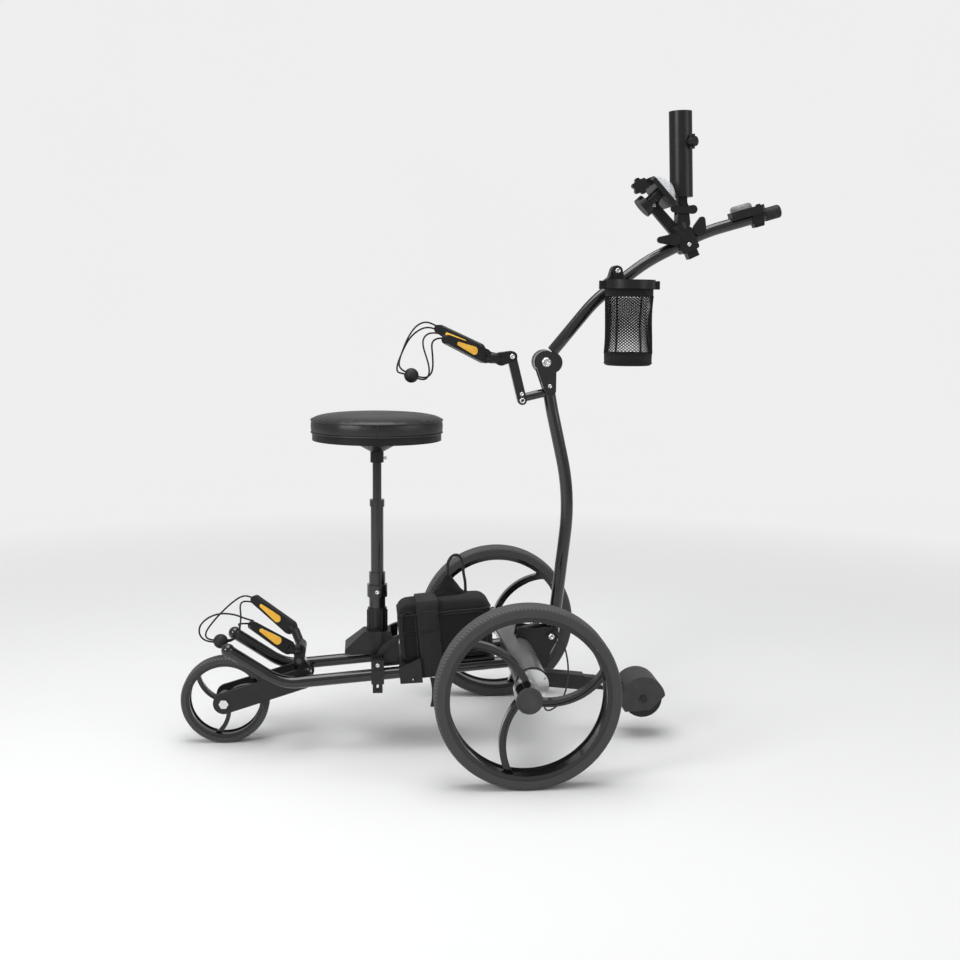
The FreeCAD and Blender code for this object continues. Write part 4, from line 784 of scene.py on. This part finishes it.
# ------------------------------------------------------------------ cup basket
class CART_OT_basket(bpy.types.Operator):
    """Net cup basket with cloth bands at its rim and foot"""

    bl_idname = "cart.basket"
    bl_label = "Make Cup Basket"

    def execute(self, context):
        soft = context.scene.cart_soft
        low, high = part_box("cup_basket")
        centre = Vector(((low.x + high.x) / 2, (low.y + high.y) / 2, 0))
        radius = (high.x - low.x) / 2 - 0.0004
        foot = low.z + 0.022
        rim = high.z - 0.026
        columns = soft.net_columns

        def waist(z, a=0.0):
            """The net draws in a little half way down, and gathers in slack folds."""
            t = (z - foot) / (rim - foot)
            fold = math.sin(5 * a + 2.1 * t) * 0.6 + math.sin(8 * a - 3.0 * t + 1.0) * 0.4
            return radius - math.sin(math.pi * t) * (0.0024 + 0.0016 * fold)

        def net(bm):
            rows = 2 * round((rim - foot) / (2 * math.pi * radius / columns * 0.75))
            grid = []
            for j in range(rows + 1):
                z = foot + (rim - foot) * j / rows
                ring = []
                for k in range(columns):
                    a = 2 * math.pi * (k + 0.5 * (j % 2)) / columns
                    r = waist(z, a)
                    ring.append(bm.verts.new(centre + Vector((r * math.cos(a), r * math.sin(a), z))))
                grid.append(ring)
            for j in range(rows - 1):
                for k in range(columns):
                    right = (k + 1) % columns if j % 2 else k
                    left = right - 1
                    bm.faces.new((grid[j][k], grid[j + 1][right], grid[j + 2][k], grid[j + 1][left]))

        mesh = mesh_of("cup_net", net)
        basket = add_piece("cup_net", mesh, MATERIALS["mesh_fabric"], "cup", smooth=False)
        strands = basket.modifiers.new("Strands", "WIREFRAME")
        strands.thickness = soft.net_strand
        strands.use_replace = True
        strands.use_even_offset = False
        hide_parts("cup_basket")

        def bands(bm):
            wall = 0.0016
            profile = [(0, low.z)] + arc(radius - 0.006, low.z + 0.006, 0.006, -90, 0, 7)
            profile += [(radius + 0.0003, foot), (radius - wall, foot)]
            profile += [(radius - wall, low.z + wall), (0, low.z + wall)]
            lathe(bm, profile, centre)
            rim_loop = [(radius + 0.0002, rim), (radius, high.z)]
            rim_loop += [(radius - wall, high.z), (radius - wall, rim)]
            lathe(bm, rim_loop + rim_loop[:1], centre)

        def seams(bm):
            for angle in (-70, 110):
                a = math.radians(angle)
                levels = [foot + (rim - foot) * k / 12 for k in range(13)]
                tube(bm, [centre + Vector((waist(z, a) * math.cos(a), waist(z, a) * math.sin(a), z))
                          for z in levels], 0.0018, 8)
            for z in (foot, low.z + 0.004, rim, high.z - 0.003):
                r = radius + 0.0002
                loop = [centre + Vector((r * math.cos(a), r * math.sin(a), z))
                        for a in [2 * math.pi * k / 96 for k in range(96)]]
                tube(bm, loop, 0.0009, 6, closed=True)

        add_piece("cup_bands", mesh_of("cup_bands", bands), MATERIALS["mesh_fabric"], "cup")
        add_piece("cup_seams", mesh_of("cup_seams", seams), MATERIALS["mesh_fabric"], "cup")
        return {"FINISHED"}


# ------------------------------------------------------------------ cords
UPPER_STRAND_A = [
    (-131, 88, 771), (-144, 92, 779), (-159, 89, 783), (-174, 79, 777), (-186, 65, 764), (-196, 51, 747),
    (-203, 36, 730), (-209, 23, 715), (-211, 9, 702), (-201.5, 0, 692.8), (-173.3, 0, 682.6),
    (-160, -3, 682), (-152, -14, 690), (-150, -29, 702), (-151, -45, 717), (-153, -61, 732),
    (-155, -76, 745), (-152, -88, 753), (-142, -94, 757), (-130, -90, 756)]
UPPER_STRAND_B = [
    (-131, 86, 766), (-146, 90, 772), (-161, 86, 772), (-175, 76, 765), (-188, 62, 754), (-198, 48, 739),
    (-207, 33, 720), (-214, 19, 703), (-214, 6, 691), (-202.7, 0, 689.4), (-174.5, 0, 679.2),
    (-161, 3, 678), (-154, 12, 689), (-155, 27, 705), (-160, 43, 722), (-164, 59, 736),
    (-164, 74, 749), (-158, 84, 758), (-146, 87, 763), (-132, 83, 761)]
LOWER_STRAND_A = [
    (-483, 82, 252), (-496, 88, 258), (-511, 87, 257), (-526, 77, 248), (-541, 64, 236), (-554, 50, 224),
    (-565, 35, 212), (-571, 21, 203), (-569, 8, 196), (-556, 0, 193.3), (-526, 0, 193.3),
    (-513, -4, 198), (-506, -15, 206), (-503, -29, 217), (-501, -46, 228), (-501, -63, 237),
    (-500, -79, 243), (-495, -90, 246), (-484, -93, 247), (-472, -86, 245)]
LOWER_STRAND_B = [
    (-473, -86, 250), (-487, -93, 256), (-502, -91, 262), (-519, -82, 263), (-536, -70, 260),
    (-553, -58, 252), (-567, -45, 240), (-576, -31, 226), (-578, -17, 209), (-571, -5, 195), (-556, 0, 189.7),
    (-526, 0, 189.7), (-514, 6, 195), (-508, 17, 206), (-507, 33, 219), (-508, 50, 231),
    (-511, 66, 241), (-510, 80, 247), (-500, 87, 248), (-487, 83, 246)]
CABLE = [
    (80, -17.6, 209), (80, -29, 209), (86, -40, 205), (94, -50, 192), (99, -62, 173),
    (100, -78, 152), (96, -98, 131), (87, -121, 114), (73, -145, 104), (57, -170, 102), (44, -194, 108),
    (37, -214, 121), (35, -226, 134), (32.2, -232, 145.0)]

CORD_R = 0.0016
LEAD_R = 0.0027


def battery_lead_route():
    """The lead's loop, from the boot's tip back down to the bag's top."""
    start = on_rail(BAG_START + 97, 0, BAG_HIGH)
    end = on_rail(BAG_START + 130, 0, BAG_HIGH)
    rise = ((0, 35), (0, 46), (-1, 59), (6, 71), (16, 75), (25, 68), (28, 53), (29, 38))
    fall = ((-1, 23), (0, 10), (0, 0.3))
    climb = [start + Vector((x, 0, z)) * MM for x, z in rise]
    return climb + [end + Vector((x, 0, z)) * MM for x, z in fall]


def lay_cord(name, points, radius, body, slot, **facts):
    """A smooth round cord through its route, in place of its plain solid."""
    curve = bpy.data.curves.new(name, "CURVE")
    curve.dimensions = "3D"
    spline = curve.splines.new("NURBS")
    spline.points.add(len(points) - 1)
    for target, point in zip(spline.points, points):
        target.co = (*point, 1.0)
    spline.order_u = 3
    spline.use_endpoint_u = True
    spline.resolution_u = 6
    curve.bevel_depth = radius
    curve.bevel_resolution = 4
    curve.use_fill_caps = True
    curve.materials.append(MATERIALS[slot])
    cord = bpy.data.objects.new(name + "_cord", curve)
    bpy.context.scene.collection.objects.link(cord)
    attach(cord, body)
    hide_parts(name)
    return cord


class CART_OT_cords(bpy.types.Operator):
    """Bungee strands, the battery lead and the motor cable"""

    bl_idname = "cart.cords"
    bl_label = "Lay Cords"

    def execute(self, context):
        bungees = (
            ("upper_bungee_a", UPPER_STRAND_A, "upper_cradle", 0.354, ["upper_ball"]),
            ("upper_bungee_b", UPPER_STRAND_B, "upper_cradle", 0.359, []),
            ("lower_bungee_a", LOWER_STRAND_A, "lower_cradle", 0.334, ["lower_ball"]),
            ("lower_bungee_b", LOWER_STRAND_B, "lower_cradle", 0.356, []),
        )
        for name, route, body, length, on_it in bungees:
            lay_cord(name, [at(*p) for p in route], CORD_R, body, "elastic_cord", length=length,
                     stiffness="limp", lay="hanging", with_pieces=on_it)
        lay_cord("battery_lead", battery_lead_route(), LEAD_R, "frame", "cable_sheath", length=0.124,
                 stiffness="medium", lay="loose")
        lay_cord("motor_cable", [at(*p) for p in CABLE], CORD_R, "frame", "cable_sheath", length=0.292,
                 stiffness="medium", lay="hanging")
        return {"FINISHED"}


# ------------------------------------------------------------------ small hardware
class CART_OT_hardware(bpy.types.Operator):
    """Bolt heads, seals and screws at the motor tube's ends, and beads round the hub caps"""

    bl_idname = "cart.hardware"
    bl_label = "Add Hardware"

    def execute(self, context):
        left = Vector((0, -1, 0))
        right = Vector((0, 1, 0))
        sets = {
            "frame": [(at(-389, -33, 130.2), left, 7), (at(-389, 33, 130.2), right, 7),
                      (at(-251, -80, 163), left, 4), (at(75, -23, 198), left, 6),
                      (at(-251, -19, 285), left, 4), (at(-236, -9, 535), left, 3)],
            "mast": [(at(16.5, -8, 641), left, 5.5), (at(15, -10, 653), left, 4), (at(-4, -16, 722), left, 5),
                     (at(58, -21, 712), left, 9), (at(66, -18, 668), left, 4)],
            "handle": [(at(318, -20, 928), left, 4), (at(252, -14, 998), left, 4)],
            "cup": [(at(187, -21.5, 879), left, 5)],
            "antitip": [(at(177, -11, 103), left, 5)],
        }
        for body, bolts in sets.items():
            def heads(bm):
                for centre, axis, radius in bolts:
                    bolt_head(bm, centre, axis, radius * MM, radius * 0.55 * MM)
            add_piece("bolts_" + body, mesh_of("bolts_" + body, heads), MATERIALS["steel"], body)
        self.motor_trim()
        self.hub_caps()
        return {"FINISHED"}

    def motor_trim(self):
        """A rubber seal and four small screws at each end of the motor tube."""
        low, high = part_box("motor_housing")
        centre_x, centre_z = (low.x + high.x) / 2, (low.z + high.z) / 2
        radius = (high.z - low.z) / 2

        def seals(bm):
            for y in (low.y, high.y):
                loop = [Vector((centre_x + radius * math.cos(a), y, centre_z + radius * math.sin(a)))
                        for a in [2 * math.pi * k / 72 for k in range(72)]]
                tube(bm, loop, 0.0017, 8, closed=True)

        def screws(bm):
            for side, y in ((-1, low.y - 0.008), (1, high.y + 0.008)):
                for k in range(4):
                    a = math.radians(30 + 90 * k)
                    place = Vector((centre_x + radius * 0.84 * math.cos(a), y,
                                    centre_z + radius * 0.84 * math.sin(a)))
                    bolt_head(bm, place, Vector((0, side, 0)), 0.0022, 0.0012)

        add_piece("motor_seals", mesh_of("motor_seals", seals), MATERIALS["soft_rubber"],
                  "frame")
        add_piece("motor_screws", mesh_of("motor_screws", screws), MATERIALS["steel"], "frame")

    def hub_caps(self):
        """A raised bead round each rear hub's cap."""
        for side, name in ((-1, "left"), (1, "right")):
            low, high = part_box("axle_" + name)
            face = low.y if side < 0 else high.y
            radius = (high.z - low.z) / 2 - 0.0035

            def bead(bm):
                loop = [Vector((AXLE_X + radius * math.cos(a), face, WHEEL_R + radius * math.sin(a)))
                        for a in [2 * math.pi * k / 72 for k in range(72)]]
                tube(bm, loop, 0.0012, 8, closed=True)

            add_piece("hub_bead_" + name, mesh_of("hub_bead_" + name, bead), MATERIALS["hub_plastic"],
                      "wheel_" + name)


# ------------------------------------------------------------------ stage
CAMERA_PLACE = (-272.1, -2428.5, 811.5)
CAMERA_YAW, CAMERA_PITCH, CAMERA_ROLL = math.radians(4.99), math.radians(7.46), math.radians(0.5)
CAMERA_LENS = 49.57


class CART_OT_stage(bpy.types.Operator):
    """Pale seamless backdrop, soft lamps and the camera"""

    bl_idname = "cart.stage"
    bl_label = "Set Stage"

    def execute(self, context):
        scene = context.scene
        stage = scene.cart_stage
        self.backdrop(scene, stage)
        self.lamps(scene, stage)
        camera = bpy.data.objects.new("camera", bpy.data.cameras.new("camera"))
        scene.collection.objects.link(camera)
        camera.data.lens = CAMERA_LENS
        camera.data.sensor_width = 36.0
        camera.data.clip_end = 60.0
        forward = Vector((math.sin(CAMERA_YAW) * math.cos(CAMERA_PITCH),
                          math.cos(CAMERA_YAW) * math.cos(CAMERA_PITCH), -math.sin(CAMERA_PITCH)))
        right = Vector((math.cos(CAMERA_YAW), -math.sin(CAMERA_YAW), 0))
        up = right.cross(forward)
        cos, sin = math.cos(CAMERA_ROLL), math.sin(CAMERA_ROLL)
        axes = (right * cos + up * sin, up * cos - right * sin, -forward)
        camera.matrix_world = Matrix.Translation(at(*CAMERA_PLACE)) @ Matrix(axes).transposed().to_4x4()
        scene.camera = camera
        scene.view_settings.view_transform = "Standard"
        return {"FINISHED"}

    def backdrop(self, scene, stage):
        """One sheet: the floor, a wide curve and the wall behind."""
        bend, back, width = 2.5, 4.5, 14.0
        outline = [(-8.0, 0.0), (0.0, 0.0), (back, 0.0)]
        outline += [(back + bend * math.sin(a), bend * (1 - math.cos(a))) for a in
                    [math.radians(90 * k / 16) for k in range(1, 17)]]
        outline.append((back + bend, 12.0))

        def sheet(bm):
            rows = [[bm.verts.new((x, y, z)) for x in (-width, 0, width)] for y, z in outline]
            for low, high in zip(rows, rows[1:]):
                for k in range(2):
                    bm.faces.new((low[k], low[k + 1], high[k + 1], high[k]))

        finish = Finish("Backdrop Paper", Specular_IOR_Level=0.1)
        finish.colour(finish.noise(3.0), rgba(stage.floor_tone), rgba(stage.floor_tone + 0.01))
        finish.roughness(finish.noise(8.0) * 0.1 + 0.8)
        x, y, z = finish.place()[1]
        away = (x * x + y * y).math("SQRT")
        far = ((away - stage.fade_start) / stage.fade_width).math("MINIMUM", 1.0).math("MAXIMUM", 0.0)
        seen = finish.node("ShaderNodeLightPath")
        tone = finish.blend(finish.noise(0.6), rgba(stage.far_tone), rgba(stage.far_tone + 0.02))
        glow = finish.node("ShaderNodeEmission", inputs={"Color": tone, "Strength": 1.0})
        lit = Wire(finish.tree, finish.shader.outputs[0])
        mixed = finish.node("ShaderNodeMixShader", inputs={0: far * seen, 1: lit, 2: glow})
        feed(finish.tree, finish.tree.nodes["Material Output"].inputs["Surface"], mixed)
        mesh = mesh_of("backdrop", sheet)
        mesh.materials.append(finish.material)
        mesh.shade_smooth()
        backdrop = bpy.data.objects.new("backdrop", mesh)
        scene.collection.objects.link(backdrop)

    def lamps(self, scene, stage):
        world = bpy.data.worlds.new("studio")
        world.use_nodes = True
        nodes, links = world.node_tree.nodes, world.node_tree.links
        fill = nodes["Background"]
        fill.inputs["Color"].default_value = (0.97, 0.98, 1.0, 1.0)
        fill.inputs["Strength"].default_value = 0.5
        seen = nodes.new("ShaderNodeBackground")
        seen.inputs["Color"].default_value = rgba(stage.far_tone)
        mix = nodes.new("ShaderNodeMixShader")
        links.new(nodes.new("ShaderNodeLightPath").outputs["Is Camera Ray"], mix.inputs[0])
        links.new(fill.outputs[0], mix.inputs[1])
        links.new(seen.outputs[0], mix.inputs[2])
        links.new(mix.outputs[0], nodes["World Output"].inputs["Surface"])
        scene.world = world
        lamps = (
            ("overhead", (-0.3, -0.2, 3.0), (0.0, 0.1, 0.3), 2.4, stage.lamp_power * 0.60),
            ("left_front", (-2.6, -2.2, 1.8), (0.0, 0.0, 0.5), 1.1, stage.lamp_power * 0.42),
            ("right_front", (2.8, -1.8, 1.6), (0.0, 0.0, 0.5), 1.6, stage.lamp_power * 0.16),
        )
        for name, place, target, size, power in lamps:
            light = bpy.data.lights.new(name, "AREA")
            light.shape = "SQUARE"
            light.size = size
            light.energy = power
            lamp = bpy.data.objects.new(name, light)
            scene.collection.objects.link(lamp)
            lamp.location = place
            lamp.rotation_euler = (Vector(target) - Vector(place)).to_track_quat("-Z", "Y").to_euler()


# ------------------------------------------------------------------ add-on
class CART_PT_panel(bpy.types.Panel):
    """Steps that dress the cart"""

    bl_label = "Golf Cart"
    bl_idname = "CART_PT_panel"
    bl_space_type = "VIEW_3D"
    bl_region_type = "UI"
    bl_category = "Golf Cart"

    def draw(self, context):
        for group in ("cart_finish", "cart_soft", "cart_stage"):
            settings = getattr(context.scene, group)
            for name in settings.__annotations__:
                self.layout.prop(settings, name)
        for operator in OPERATORS:
            self.layout.operator(operator.bl_idname)


OPERATORS = (CART_OT_finishes, CART_OT_seat, CART_OT_battery_bag, CART_OT_strap, CART_OT_basket,
             CART_OT_cords, CART_OT_hardware, CART_OT_stage)
GROUPS = {"cart_finish": CART_PG_finish, "cart_soft": CART_PG_soft, "cart_stage": CART_PG_stage}


def register():
    for cls in (*GROUPS.values(), *OPERATORS, CART_PT_panel):
        bpy.utils.register_class(cls)
    for name, group in GROUPS.items():
        setattr(bpy.types.Scene, name, PointerProperty(type=group))


def unregister():
    for name in GROUPS:
        delattr(bpy.types.Scene, name)
    for cls in (CART_PT_panel, *reversed(OPERATORS), *GROUPS.values()):
        bpy.utils.unregister_class(cls)


def main():
    register()
    for operator in OPERATORS:
        category, action = operator.bl_idname.split(".")
        getattr(getattr(bpy.ops, category), action)()


if __name__ == "__main__":
    main()
